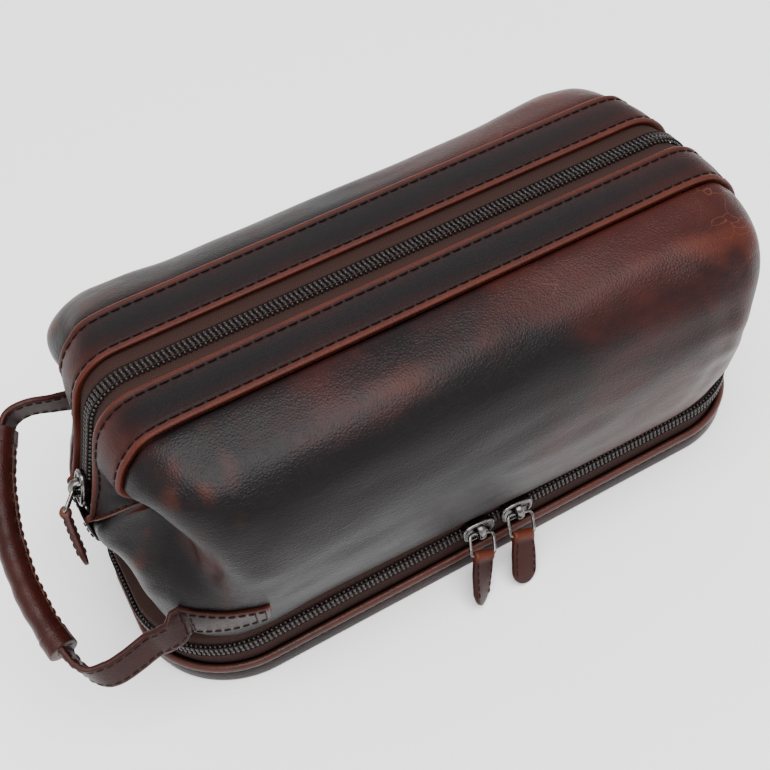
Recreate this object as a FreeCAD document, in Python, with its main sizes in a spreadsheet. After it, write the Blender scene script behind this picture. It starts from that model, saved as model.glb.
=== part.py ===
import FreeCAD, Part
import math
import os
import re
import Sketcher
from FreeCAD import Placement, Rotation, Vector

# Zip-round shaving kit bag: a leather tray, a hinged main bag and a framed zip mouth.

doc = FreeCAD.newDocument("shaving_kit_bag")
sheet = doc.addObject("Spreadsheet::Sheet", "sizes")

# Every driving size in millimetres (angles in degrees). +X runs along the bag, -Y is its front.
SIZES = {
    # plan outline of the tray, which the lower zip also follows
    "base_length": 254, "base_width": 95.5, "base_corner": 37,
    # tray
    "tray_height": 9, "leather": 2.0, "sole": 1.6, "board": 1.6, "cloth": 0.7,
    "rim_height": 1.6, "rim_outset": 0.6, "tray_lining_height": 12,
    # lower zip, split at zip_level into a tray half and a bag half
    "zip_level": 20.5, "zip_split": 0.1, "coil_half": 2.9, "coil_outer": 0.6, "coil_inner": 3.6,
    "tape_foot": 5, "tape_outer": 2.1, "tape_inner": 2.9, "upper_tape_outer": 2.6,
    "upper_tape_inner": 3.4, "upper_tape_top": 25.9, "zip_back_end": 30,
    "hinge_outer": 0.3, "hinge_inner": 1.9,
    # main bag: sections of the soft body from its hem to its crown
    "hem_level": 26, "hem_length": 241, "hem_width": 95.2, "hem_corner": 36,
    "flank_level": 44, "flank_length": 245, "flank_width": 106, "flank_corner": 38,
    "belly_level": 64.5, "belly_length": 243, "belly_width": 116, "belly_corner": 33,
    "bulge_level": 85, "bulge_length": 236, "bulge_width": 122, "bulge_corner": 26,
    "shoulder_level": 101, "shoulder_length": 227, "shoulder_width": 117, "shoulder_corner": 22,
    "brow_level": 113, "brow_length": 216, "brow_width": 98, "brow_corner": 19,
    "crown_level": 119.6, "crown_length": 204, "crown_width": 70, "crown_corner": 14,
    "panel": 2.2, "board_inset": 3.5, "lining_gap": 0.2, "lining_top": 58,
    "panel_edge": 34, "gusset_place": 95.4, "gusset_radius": 42.8, "strip_half_width": 6,
    # framed mouth: two jaws that turn about one axis through the end pivots
    "pivot_height": 69, "jaw_top": 119.5, "jaw_foot_x": 127, "jaw_foot_level": 68, "jaw_lean": 18.8,
    "jaw_bend": 18, "band_inner": 8.7, "band_outer": 29.3, "band_thick": 1.8, "band_foot": 72,
    "tape_far": 16, "tape_near": 3.3, "tape_depth": 1.9, "tape_thick": 0.8, "zip_foot": 75,
    "coil_far": 3.2, "coil_near": 0.1, "coil_depth": 0.4, "coil_thick": 2.8,
    "frame_near": 9.5, "frame_far": 12.5, "frame_depth": 2.9, "frame_thick": 2.4,
    "link_half": 2.5, "link_thick": 1.2, "eyelet": 4, "pin": 1.5, "pin_gap": 0.05,
    "front_link_x": 122.2, "back_link_x": 123.6, "pin_start": 116.4, "pin_end": 124.3,
    "pin_head": 3, "pin_head_thick": 1.0, "bracket_thick": 1.4, "bracket_half": 5,
    "bracket_foot": 48, "bracket_rise": 4.5, "swing_gap": 0.8, "swing_drop": 5,
    "swing_first_out": 31, "swing_first_rise": -29, "swing_second_out": 40, "swing_second_rise": -3,
    "swing_third_out": 50, "swing_third_rise": 15, "swing_last_out": 64, "swing_last_rise": 26,
    # zip sliders and their pulls
    "slider_length": 13, "slider_width": 8.4, "slider_thick": 1.2, "slider_gap": 0.35,
    "hood_outer": 3.4, "hood_inner": 2.4, "hood_width": 4, "wire": 0.6, "ball": 0.95,
    "bail_half": 5.7, "bail_length": 8, "pull_top": 8.6, "pull_width": 10.6, "pull_length": 20,
    "pull_thick": 2.6, "pull_crest": 1.6, "pull_shoulder": 7, "pull_gap": 0.06,
    "left_slider_x": -5.3, "right_slider_x": 11, "top_slider_level": 79.5,
    "left_turn": 30, "right_turn": 24, "left_tab_lean": 30, "right_tab_lean": 37,
    "lower_bail_lean": 45, "top_bail_lean": 45, "top_tab_lean": 6, "top_turn": 18,
    # carrying handle on the left end
    "handle_root_x": -114, "handle_reach_y": 43, "handle_level": 60, "handle_rise": 15.5,
    "handle_droop": 8, "strap_width": 12, "strap_thick": 2.6, "strap_bend": 9,
    "grip_radius": 6.2, "grip_core": 3.0, "grip_core_gap": 0.05, "grip_curve": 110, "grip_sweep": 43.2,
    "grip_shift": -7.6, "grip_reach": 39.5, "grip_turn": 7.9, "root_outset": 2, "root_lift": 0.5,
    "front_strap_slant": 2.5, "front_strap_drop": 31, "back_strap_slant": 5.5, "back_strap_drop": 18,
    "front_grip_gap": 0.3, "back_grip_gap": 1.7, "root_clearance": 2.4,
    "patch_thick": 1.6, "patch_gap": 0.1, "patch_left": -113, "patch_length": 26,
    "patch_height": 12, "front_patch_foot": 42.5, "back_patch_foot": 66,
}
for row, (alias, number) in enumerate(SIZES.items(), start=1):
    sheet.set(f"A{row}", alias)
    sheet.set(f"B{row}", str(number))
    sheet.setAlias(f"B{row}", alias)
doc.recompute()

LEVELS = ("hem", "flank", "belly", "bulge", "shoulder", "brow", "crown")
FRONT, BACK = 1, -1
FAR = 400          # reach of cutting blocks, beyond the whole bag
nodes = []


def bound(text):
    """Turn an expression in plain size names into one that reads the sheet."""
    return re.sub(r"[a-z][a-z_]+", lambda m: "sizes." + m[0] if m[0] in SIZES else m[0], str(text))


def value(text):
    """Number that an expression in size names has now."""
    return float(sheet.evalExpression(bound(text)))


def bind(thing, **sizes):
    """Bind properties to expressions; a double underscore in a name stands for a dot."""
    for name, text in sizes.items():
        thing.setExpression(name.replace("__", "."), bound(text))
    return thing


def node(thing, label):
    """Name a finished sub-part, which is then written to its own file."""
    thing.Label = label
    nodes.append(thing)
    return thing


# ---------------------------------------------------------------- sketch helpers
def rounded_rectangle(sketch, tag, length, width, corner):
    """Rounded rectangle centred on the sketch's origin, with its three sizes bound."""
    half_x, half_y, radius = value(length) / 2, value(width) / 2, value(corner)
    turns = [(1, -1, -90), (1, 1, 0), (-1, 1, 90), (-1, -1, 180)]
    centres = [Vector(sx * (half_x - radius), sy * (half_y - radius), 0) for sx, sy, _ in turns]
    first = sketch.GeometryCount
    for (_, _, start), centre in zip(turns, centres):
        circle = Part.Circle(centre, Vector(0, 0, 1), radius)
        sketch.addGeometry(Part.ArcOfCircle(circle, math.radians(start), math.radians(start + 90)))
    for index in range(4):
        here, after = sketch.Geometry[first + index], sketch.Geometry[first + (index + 1) % 4]
        sketch.addGeometry(Part.LineSegment(here.EndPoint, after.StartPoint))
    for index in range(4):
        arc, line, after = first + index, first + 4 + index, first + (index + 1) % 4
        sketch.addConstraint(Sketcher.Constraint("Tangent", arc, 2, line, 1))
        sketch.addConstraint(Sketcher.Constraint("Tangent", line, 2, after, 1))
        sketch.addConstraint(Sketcher.Constraint("Vertical" if index % 2 == 0 else "Horizontal", line))
        if index:
            sketch.addConstraint(Sketcher.Constraint("Equal", first, arc))
    sketch.addConstraint(Sketcher.Constraint("Symmetric", first, 3, first + 2, 3, -1, 1))
    sized = [("length", "DistanceX", (first + 6, 1, first + 4, 1), 2 * half_x, length),
             ("width", "DistanceY", (first + 7, 1, first + 5, 1), 2 * half_y, width),
             ("corner", "Radius", (first,), radius, corner)]
    for word, kind, ends, number, text in sized:
        index = sketch.addConstraint(Sketcher.Constraint(kind, *ends, number))
        sketch.renameConstraint(index, tag + word)
        sketch.setExpression(f"Constraints.{tag}{word}", bound(text))


def new_sketch(body, name, role, offset="0"):
    """Sketch in a body, flat on one of its origin planes and moved off it by a bound offset."""
    sketch = body.newObject("Sketcher::SketchObject", name)
    plane = [each for each in body.Origin.OriginFeatures if each.Role == role][0]
    sketch.AttachmentSupport = [(plane, "")]
    sketch.MapMode = "FlatFace"
    sketch.setExpression("AttachmentOffset.Base.z", bound(offset))
    return sketch


def path_edges(points, radii, offset):
    """Lines and tangent arcs along a bent path, moved sideways to its left by offset."""
    sides = []
    for start, end in zip(points, points[1:]):
        along = (end - start).normalize()
        left = Vector(-along.y, along.x, 0) * offset
        sides.append((start + left, along))
    corners = [sides[0][0]]
    for (here, one), (there, two) in zip(sides, sides[1:]):
        gap = there - here
        corners.append(here + one * ((gap.x * two.y - gap.y * two.x) / (one.x * two.y - one.y * two.x)))
    corners.append(points[-1] + (sides[-1][0] - points[-2]))
    edges = []
    last = corners[0]
    for index, radius in enumerate(radii):
        corner, one, two = corners[index + 1], sides[index][1], sides[index + 1][1]
        turn = math.atan2(one.x * two.y - one.y * two.x, one.dot(two))
        bend = radius - math.copysign(offset, turn)
        reach = bend * math.tan(abs(turn) / 2)
        middle = corner + (two - one).normalize() * (bend / math.cos(turn / 2) - bend)
        edges.append(Part.LineSegment(last, corner - one * reach))
        edges.append(Part.Arc(corner - one * reach, middle, corner + two * reach))
        last = corner + two * reach
    edges.append(Part.LineSegment(last, corners[-1]))
    return edges


def ribbon(sketch, points, radii, left, right):
    """Closed outline of a bent strip between two sideways offsets of one path."""
    outer, inner = path_edges(points, radii, left), path_edges(points, radii, right)
    sketch.addGeometry(outer + inner)
    sketch.addGeometry(Part.LineSegment(outer[0].StartPoint, inner[0].StartPoint))
    sketch.addGeometry(Part.LineSegment(outer[-1].EndPoint, inner[-1].EndPoint))


# ---------------------------------------------------------------- solid helpers
def pad(body, sketch, length, symmetric=False):
    feature = body.newObject("PartDesign::Pad", sketch.Name + "_pad")
    feature.Profile = sketch
    feature.Midplane = symmetric
    return bind(feature, Length=length)


def block(low, high):
    """Box between two corners; each coordinate is an expression."""
    box = doc.addObject("Part::Box", "block")
    bind(box, Placement__Base__x=low[0], Placement__Base__y=low[1], Placement__Base__z=low[2])
    spans = [f"({top}) - ({bottom})" for bottom, top in zip(low, high)]
    return bind(box, Length=spans[0], Width=spans[1], Height=spans[2])


def rod(radius, length, direction=Vector(0, 0, 1), centred=False):
    """Cylinder from its own origin along a direction."""
    cylinder = doc.addObject("Part::Cylinder", "rod")
    bind(cylinder, Radius=radius, Height=length)
    shift = direction * (-value(length) / 2 if centred else 0)
    cylinder.Placement = Placement(shift, Rotation(Vector(0, 0, 1), direction))
    return cylinder


def moved(thing, x=0, y=0, z=0):
    thing.Placement = Placement(Vector(x, y, z), Rotation()).multiply(thing.Placement)
    return thing


def cut(base, tool):
    result = doc.addObject("Part::Cut", "cut")
    result.Base, result.Tool = base, tool
    return result


def common(one, two):
    result = doc.addObject("Part::MultiCommon", "common")
    result.Shapes = [one, two]
    return result


def fuse(*things):
    result = doc.addObject("Part::MultiFuse", "fuse")
    result.Shapes = list(things)
    return result


# ---------------------------------------------------------------- zip-round base
def outline_ring(name, outer, bottom, top, inner=None):
    """Block or ring that follows the base outline, at insets from it."""
    body = doc.addObject("PartDesign::Body", name)
    sketch = new_sketch(body, name + "_plan", "XY_Plane", bottom)
    for tag, inset in (("outer_", outer), ("inner_", inner)):
        if inset is not None:
            rounded_rectangle(sketch, tag, f"base_length - 2 * ({inset})", f"base_width - 2 * ({inset})",
                              f"base_corner - ({inset})")
    pad(body, sketch, f"({top}) - ({bottom})")
    return body


def outline_pan(name, outer, bottom, top, floor, wall):
    """Open pan that follows the base outline."""
    body = outline_ring(name, outer, bottom, top)
    sketch = new_sketch(body, name + "_hollow", "XY_Plane", f"({bottom}) + ({floor})")
    inset = f"({outer}) + ({wall})"
    rounded_rectangle(sketch, "", f"base_length - 2 * ({inset})", f"base_width - 2 * ({inset})",
                      f"base_corner - ({inset})")
    pocket = body.newObject("PartDesign::Pocket", name + "_pocket")
    pocket.Profile = sketch
    pocket.Reversed = True
    bind(pocket, Length=f"({top}) - ({bottom})")
    return body


def tray():
    board_foot = "sole"
    lining_foot = "sole + board"
    node(outline_pan("tray_pan", "0", "0", "tray_height", "sole", "leather"), "tray_shell")
    node(outline_ring("tray_edge", "-rim_outset", "tray_height", "tray_height + rim_height", "leather"),
         "tray_rim")
    node(outline_ring("tray_stiffener", "board_inset", board_foot, lining_foot), "tray_board")
    node(outline_pan("tray_cloth", "board_inset", lining_foot, f"{lining_foot} + tray_lining_height",
                     "cloth", "cloth"), "tray_lining")


def zip_round():
    """Tapes and coil halves on the front and both ends, and the leather hinge along the back."""
    lower_coil_foot, lower_coil_top = "zip_level - zip_split - coil_half", "zip_level - zip_split"
    upper_coil_foot, upper_coil_top = "zip_level + zip_split", "zip_level + zip_split + coil_half"
    rings = [
        ("lower_tape_tray", "tape_outer", "tape_inner", "tape_foot", lower_coil_foot),
        ("lower_coil_tray", "coil_outer", "coil_inner", lower_coil_foot, lower_coil_top),
        ("lower_coil_bag", "coil_outer", "coil_inner", upper_coil_foot, upper_coil_top),
        ("lower_tape_bag", "upper_tape_outer", "upper_tape_inner", upper_coil_top, "upper_tape_top"),
    ]
    for label, outer, inner, bottom, top in rings:
        behind = block((-FAR, "zip_back_end", -FAR), (FAR, FAR, FAR))
        node(cut(outline_ring(label + "_ring", outer, bottom, top, inner), behind), label)
    hinges = [("back_hinge_tray", "tray_height + rim_height", lower_coil_top),
              ("back_hinge_bag", upper_coil_foot, "hem_level")]
    for label, bottom, top in hinges:
        ahead = block((-FAR, -FAR, -FAR), (FAR, "zip_back_end + 0.2", FAR))
        ring = outline_ring(label + "_ring", "hinge_outer", bottom, top, "hinge_inner")
        node(cut(ring, ahead), label)


# ---------------------------------------------------------------- soft body of the main bag
def soft_block(name, grow):
    """Lofted body of the bag, grown or shrunk by one distance all round."""
    sections = []
    for level in LEVELS:
        sketch = doc.addObject("Sketcher::SketchObject", f"{name}_{level}")
        rounded_rectangle(sketch, "", f"{level}_length + 2 * ({grow})", f"{level}_width + 2 * ({grow})",
                          f"{level}_corner + ({grow})")
        bind(sketch, Placement__Base__z=f"{level}_level")
        sections.append(sketch)
    loft = doc.addObject("Part::Loft", name)
    loft.Sections = sections
    loft.Solid = True
    return loft


def soft_shell(name, outer, inner):
    return cut(soft_block(name + "_outer", outer), soft_block(name + "_inner", inner))


def swing_space():
    """Room that both jaws sweep, from closed to wide open, plus a running gap."""
    lean = math.radians(value("jaw_lean"))
    top, foot_level, pivot = value("jaw_top"), value("jaw_foot_level"), value("pivot_height")
    bend, foot = value("jaw_bend"), value("jaw_foot_x")
    corner = foot - (top - foot_level) * math.tan(lean)
    reach = bend * math.tan((math.pi / 2 - lean) / 2)
    gap = value("swing_gap")

    def radius(level):
        return math.hypot(value("band_outer"), level - pivot) + gap

    leg_end = (corner + reach * math.sin(lean), top - reach * math.cos(lean))
    half = [(corner - reach, radius(top)), (corner + gap, radius((top + leg_end[1]) / 2 + 2 * gap)),
            (leg_end[0] + gap, radius(leg_end[1])), (foot + 4 * gap, radius(pivot))]
    profile = [(-x, r) for x, r in reversed(half)] + half
    points = [Vector(x, 0, pivot + r) for x, r in profile]
    points = [Vector(points[0].x, 0, pivot)] + points + [Vector(points[-1].x, 0, pivot)]
    outline = doc.addObject("Part::Feature", "swing_outline")
    outline.Shape = Part.Face(Part.makePolygon(points + points[:1]))
    turned = doc.addObject("Part::Revolution", "swing_revolution")
    turned.Source = outline
    turned.Axis = Vector(1, 0, 0)
    turned.Base = Vector(0, 0, pivot)
    turned.Angle = 360
    turned.Solid = True
    steps = [("0", "-swing_drop")] + [(f"swing_{n}_out", f"swing_{n}_rise") for n in
                                      ("first", "second", "third", "last")]
    right = [(value(out), pivot + value(rise)) for out, rise in steps]
    side = value("bulge_width")
    right += [(side, right[-1][1]), (side, 2 * top)]
    outline_yz = [(-y, z) for y, z in reversed(right)] + right[1:]
    wedge_points = [Vector(-foot - 10, y, z) for y, z in outline_yz]
    wedge_face = doc.addObject("Part::Feature", "swing_wedge_face")
    wedge_face.Shape = Part.Face(Part.makePolygon(wedge_points + wedge_points[:1]))
    wedge = doc.addObject("Part::Extrusion", "swing_wedge")
    wedge.Base = wedge_face
    wedge.DirMode = "Custom"
    wedge.Dir = Vector(1, 0, 0)
    wedge.LengthFwd = 2 * (foot + 10)
    wedge.Solid = True
    return common(turned, wedge)


def soft_walls():
    """Front and back panels, and the end panels between them."""
    above_pivot = "pivot_height - swing_drop"
    walls = cut(soft_shell("panels", "0", "-panel"), swing_space())
    boxes = [
        ("front_panel", (-FAR, -FAR, -FAR), (FAR, "-panel_edge", FAR)),
        ("back_panel", (-FAR, "panel_edge", -FAR), (FAR, FAR, FAR)),
        ("left_end_panel", (-FAR, "-panel_edge", -FAR), (0, "panel_edge", above_pivot)),
        ("right_end_panel", (0, "-panel_edge", -FAR), (FAR, "panel_edge", above_pivot)),
    ]
    for label, low, high in boxes:
        node(common(walls, block(low, high)), label)
    lining = cut(cut(soft_shell("lining", "-panel - lining_gap", "-panel - lining_gap - cloth"),
                     swing_space()), block((-FAR, -FAR, "lining_top"), (FAR, FAR, FAR)))
    node(lining, "main_lining")


def floor():
    node(outline_ring("floor_core", "board_inset", "hem_level - board - 0.1", "hem_level - 0.1"),
         "floor_board")
    node(outline_ring("floor_cloth", "board_inset + cloth", "hem_level - board - cloth - 0.2",
                      "hem_level - board - 0.2"), "floor_lining")


def gussets():
    """Folded-in end walls behind the legs of the jaws."""
    for label, side in (("left_gusset", -1), ("right_gusset", 1)):
        disc = rod("gusset_radius", "cloth + leather", Vector(side, 0, 0))
        disc = moved(disc, x=side * value("gusset_place"), z=value("pivot_height"))
        place = value("gusset_place")
        thick = value("cloth + leather")
        low_x, high_x = sorted((side * place, side * (place + thick)))
        skirt_half = "hem_width / 2 - panel - cloth - 3"
        skirt = block((low_x, f"-({skirt_half})", "hem_level"), (high_x, skirt_half, "pivot_height"))
        skirt.Label = label + "_skirt"
        node(fuse(disc, skirt), label)


def end_strips():
    """Leather strip below each end of the top zip, sewn over the end panel."""
    shell = soft_shell("strips", "patch_thick", "patch_gap")
    for label, low, high in (("left_end_strip", -FAR, 0), ("right_end_strip", 0, FAR)):
        box = block((low, "-strip_half_width", "hem_level + 1"),
                    (high, "strip_half_width", "pivot_height - swing_drop - 1"))
        node(common(shell, box), label)


# ---------------------------------------------------------------- framed mouth
def jaw_path(foot_level):
    """Corner points of a jaw's outer face: up one leaning leg, along the top and down the other."""
    lean = math.tan(math.radians(value("jaw_lean")))
    top, base = value("jaw_top"), value("jaw_foot_level")
    foot = value("jaw_foot_x") - (foot_level - base) * lean
    corner = value("jaw_foot_x") - (top - base) * lean
    return [Vector(x, z, 0) for x, z in
            ((-foot, foot_level), (-corner, top), (corner, top), (foot, foot_level))]


def jaw_strip(name, side, near, far, depth, thick, foot):
    """Strip that follows a jaw's path between two distances from the zip's line."""
    body = doc.addObject("PartDesign::Body", name)
    start = near if side == FRONT else f"-({far})"
    sketch = new_sketch(body, name + "_path", "XZ_Plane", start)
    deep = value(depth)
    bend = value("jaw_bend")
    ribbon(sketch, jaw_path(value(foot)), [bend, bend], -deep, -deep - value(thick))
    pad(body, sketch, f"({far}) - ({near})")
    return body


def jaw(word, side):
    node(jaw_strip(word + "_strip", side, "band_inner", "band_outer", "0", "band_thick", "band_foot"),
         word + "_band")
    node(jaw_strip(word + "_web", side, "tape_near", "tape_far", "tape_depth", "tape_thick", "zip_foot"),
         word + "_top_tape")
    node(jaw_strip(word + "_teeth", side, "coil_near", "coil_far", "coil_depth", "coil_thick",
                   "zip_foot"), word + "_top_coil")
    bow = jaw_strip(word + "_bow", side, "frame_near", "frame_far", "frame_depth", "frame_thick",
                    "pivot_height - link_half")
    outer_face = "front_link_x" if side == FRONT else "back_link_x"
    parts, holes = [bow], []
    for end in (-1, 1):
        low_x, high_x = sorted((end * value(outer_face), end * value(f"{outer_face} - link_thick")))
        low_y, high_y = ("-frame_far", 0) if side == FRONT else (0, "frame_far")
        parts.append(block((low_x, low_y, "pivot_height - link_half"),
                           (high_x, high_y, "pivot_height + link_half")))
        for radius, group in (("eyelet", parts), ("pin + pin_gap", holes)):
            ring = rod(radius, "link_thick" if group is parts else "2 * link_thick", Vector(1, 0, 0),
                       centred=True)
            group.append(moved(ring, x=(low_x + high_x) / 2, z=value("pivot_height")))
    node(cut(fuse(*parts), fuse(*holes)), word + "_frame")


def pivots():
    """Bracket and riveted pin at each end, which carry both frames."""
    for word, end in (("left", -1), ("right", 1)):
        level = value("pivot_height")
        shaft = moved(rod("pin", "pin_end - pin_start + bracket_thick", Vector(end, 0, 0)),
                      x=end * value("pin_start - bracket_thick"), z=level)
        head = moved(rod("pin_head", "pin_head_thick", Vector(end, 0, 0)), x=end * value("pin_end"),
                     z=level)
        node(fuse(shaft, head), word + "_pivot_pin")
        low_x, high_x = sorted((end * value("pin_start"), end * value("pin_start + bracket_thick")))
        plate = block((low_x, "-bracket_half", "bracket_foot"),
                      (high_x, "bracket_half", "pivot_height + bracket_rise"))
        hole = moved(rod("pin", 8, Vector(end, 0, 0)), x=end * value("pin_start - 2"), z=level)
        node(cut(plate, hole), word + "_pivot_bracket")


# ---------------------------------------------------------------- zip sliders and pulls
def slider(label, placement, across):
    """Slider plate with a hooped bridge. Local +X runs along the zip and +Z away from it."""
    body = doc.addObject("PartDesign::Body", label + "_plate")
    sketch = new_sketch(body, label + "_plan", "XY_Plane", "slider_gap")
    rounded_rectangle(sketch, "", "slider_length", "slider_width", "slider_width / 2 - 0.8")
    pad(body, sketch, "slider_thick")
    spin = Vector(1, 0, 0) if across else Vector(0, 1, 0)
    foot = value("slider_gap + slider_thick") - 0.1
    hoop = cut(rod("hood_outer", "hood_width", spin, centred=True),
               rod("hood_inner", "3 * hood_width", spin, centred=True))
    hoop = moved(cut(hoop, block((-FAR, -FAR, -FAR), (FAR, FAR, 0))), z=foot)
    whole = fuse(body, hoop)
    whole.Placement = placement
    node(whole, label)


def bail(label, placement):
    """Wire ring: a bar in the slider's bridge, two arms and a bar through the leather pull."""
    half, drop = value("bail_half"), value("bail_length")
    pieces = []
    for level in (0, -drop):
        pieces.append(moved(rod("wire", "2 * bail_half", Vector(1, 0, 0), centred=True), z=level))
    for side in (-half, half):
        pieces.append(moved(rod("wire", "bail_length"), x=side, z=-drop))
        for level, radius in ((0, "wire"), (-drop, "ball")):
            knob = bind(doc.addObject("Part::Sphere", "knob"), Radius=radius)
            pieces.append(moved(knob, x=side, z=level))
    whole = fuse(*pieces)
    whole.Placement = placement
    node(whole, label)


def leather_pull(label, placement):
    """Two-ply leather pull with a round tip, bored across its top for the bail."""
    body = doc.addObject("PartDesign::Body", label + "_ply")
    sketch = new_sketch(body, label + "_outline", "XZ_Plane", "0")
    crest, neck, wide = value("pull_crest"), value("pull_top") / 2, value("pull_width") / 2
    shoulder, tip = -value("pull_shoulder"), crest - value("pull_length")
    corners = [Vector(x, z, 0) for x, z in
               ((-neck, crest), (neck, crest), (wide, shoulder), (wide, tip + wide))]
    for start, end in zip(corners, corners[1:]):
        sketch.addGeometry(Part.LineSegment(start, end))
    left = [Vector(-wide, tip + wide, 0), Vector(-wide, shoulder, 0), corners[0]]
    sketch.addGeometry(Part.Arc(corners[-1], Vector(0, tip, 0), left[0]))
    for start, end in zip(left, left[1:]):
        sketch.addGeometry(Part.LineSegment(start, end))
    pad(body, sketch, "pull_thick", symmetric=True)
    bore = rod("wire + pull_gap", "3 * pull_width", Vector(1, 0, 0), centred=True)
    whole = cut(body, bore)
    whole.Placement = placement
    node(whole, label)


def pull(word, hinge_point, turn, bail_lean, tab_lean):
    """Bail hung in a bridge at hinge_point and the leather pull on it, turned and leaned out."""
    hang = Rotation(turn).multiply(Rotation(Vector(1, 0, 0), -bail_lean))
    bail(word + "_bail", Placement(hinge_point, hang))
    low = hinge_point + hang.multVec(Vector(0, 0, -value("bail_length")))
    tab = Rotation(turn).multiply(Rotation(Vector(1, 0, 0), -tab_lean))
    leather_pull(word + "_pull", Placement(low, tab))
    print(word, "bail axis", [round(v, 4) for v in turn.multVec(Vector(1, 0, 0))],
          "hinge", [round(v, 2) for v in hinge_point], "pull axis at", [round(v, 2) for v in low])


def bridge_height():
    return value("slider_gap + slider_thick") + (value("hood_inner") - value("wire")) / 2 + 0.2


def lower_sliders():
    """Two sliders on the straight front stretch of the lower zip."""
    face = -value("base_width / 2 - coil_outer")
    for word in ("left", "right"):
        origin = Vector(value(word + "_slider_x"), face, value("zip_level"))
        stand = Rotation(Vector(1, 0, 0), 90)
        slider(word + "_slider", Placement(origin, stand), across=True)
        hinge_point = origin + Vector(0, -bridge_height(), 0)
        turn = Rotation(Vector(0, 1, 0), value(word + "_turn"))
        pull(word + "_slider", hinge_point, turn, value("lower_bail_lean"), value(word + "_tab_lean"))


def top_slider():
    """Slider near the foot of the left leg of the mouth, with its pull hanging outside the bag."""
    lean = value("jaw_lean")
    level = value("top_slider_level")
    rise = level - value("jaw_foot_level")
    origin = Vector(-value("jaw_foot_x") + rise * math.tan(math.radians(lean)), 0, level)
    stand = Rotation(Vector(0, 1, 0), lean).multiply(Rotation(Vector(0, 1, 0), -90))
    slider("top_slider", Placement(origin, stand), across=False)
    hinge_point = origin + stand.multVec(Vector(0, 0, bridge_height()))
    turn = Rotation(Vector(1, 0, 0), -value("top_turn")).multiply(Rotation(Vector(0, 0, 1), -90))
    pull("top_slider", hinge_point, turn, value("top_bail_lean"), value("top_tab_lean"))


# ---------------------------------------------------------------- handle
def handle_frame():
    """Local +X runs from the front root to the back root and +Y away from the bag."""
    rise, reach = value("handle_rise"), value("handle_reach_y")
    along = Vector(0, 2 * reach, 2 * rise).normalize()
    outward = Vector(-1, 0, 0)
    droop = Rotation(along, -value("handle_droop"))
    outward = droop.multVec(outward)
    upward = along.cross(outward)
    turn = Rotation(along, outward, upward, "XYZ")
    print("handle axis", [round(v, 4) for v in along])
    return Placement(Vector(value("handle_root_x"), 0, value("handle_level")), turn)


def handle_strap(label, placement, points):
    body = doc.addObject("PartDesign::Body", label + "_body")
    sketch = new_sketch(body, label + "_path", "XY_Plane", "0")
    half = value("strap_thick") / 2
    ribbon(sketch, points, [value("strap_bend")] * (len(points) - 2), half, -half)
    pad(body, sketch, "strap_width", symmetric=True)
    body.Placement = placement
    node(cut(body, soft_block(label + "_clearance", "root_clearance")), label)


def grip_ring(placement, centre, start, radius):
    """Part of a ring along the grip's gentle curve."""
    ring = bind(doc.addObject("Part::Torus", "grip_ring"), Radius1="grip_curve", Radius2=radius,
                Angle3="grip_sweep")
    ring.Placement = placement.multiply(Placement(centre, Rotation(Vector(0, 0, 1), start)))
    return ring


def handle():
    placement = handle_frame()
    curve, sweep = value("grip_curve"), value("grip_sweep")
    middle = Vector(value("grip_shift"), value("grip_reach"), 0)
    start = 90 - sweep / 2 - value("grip_turn")
    centre = middle - Vector(0, curve, 0)
    ends = [centre + Vector(curve * math.cos(math.radians(a)), curve * math.sin(math.radians(a)), 0)
            for a in (start + sweep, start)]
    tangents = [Vector(-math.sin(math.radians(a)), math.cos(math.radians(a)), 0) for a in
                (start + sweep, start)]
    root, lift = value("handle_reach_y + root_outset"), value("root_lift")
    front = [Vector(-root, lift, 0),
             Vector(-root - value("front_strap_slant"), value("front_strap_drop"), 0),
             ends[0] + tangents[0] * value("front_grip_gap")]
    back = [ends[1] - tangents[1] * value("back_grip_gap"),
            Vector(root + value("back_strap_slant"), value("back_strap_drop"), 0),
            Vector(root, lift, 0)]
    handle_strap("handle_front_strap", placement, front)
    handle_strap("handle_back_strap", placement, back)
    tube = cut(grip_ring(placement, centre, start, "grip_radius"),
               grip_ring(placement, centre, start, "grip_core + grip_core_gap"))
    node(tube, "handle_grip")
    node(grip_ring(placement, centre, start, "grip_core"), "handle_core")


def handle_patches():
    """Square ends of the handle's strap, sewn flat on the front and back panels."""
    shell = soft_shell("patches", "patch_gap + patch_thick", "patch_gap")
    patches = [("handle_front_patch", -FAR, "-20", "front_patch_foot"),
               ("handle_back_patch", "20", FAR, "back_patch_foot")]
    for label, near, far, foot in patches:
        box = block(("patch_left", near, foot),
                    ("patch_left + patch_length", far, f"{foot} + patch_height"))
        node(common(shell, box), label)


def check_objects():
    """Stop if any object failed, or if a sub-part is not one valid closed shape."""
    for thing in doc.Objects:
        if {"Invalid", "Error"} & set(thing.State):
            raise SystemExit(f"failed object {thing.Name} {thing.Label} {thing.State}")
    for thing in nodes:
        shape = thing.Shape
        if shape.isNull() or not shape.isValid() or not shape.Solids or shape.Volume < 1:
            raise SystemExit(f"bad shape {thing.Label}")


def write_parts():
    os.makedirs("parts", exist_ok=True)
    for thing in nodes:
        thing.Shape.exportStep(f"parts/{thing.Label}.step")
        box = thing.Shape.optimalBoundingBox(True, False)
        print(f"{thing.Label:22s} solids {len(thing.Shape.Solids)} volume {thing.Shape.Volume:9.1f} "
              f"x {box.XMin:7.1f} {box.XMax:7.1f} y {box.YMin:6.1f} {box.YMax:6.1f} "
              f"z {box.ZMin:6.1f} {box.ZMax:6.1f}")


tray()
zip_round()
soft_walls()
floor()
gussets()
end_strips()
jaw("front", FRONT)
jaw("back", BACK)
pivots()
lower_sliders()
top_slider()
handle()
handle_patches()
doc.recompute()
check_objects()
write_parts()
print(len(nodes), "sub-parts")
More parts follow.
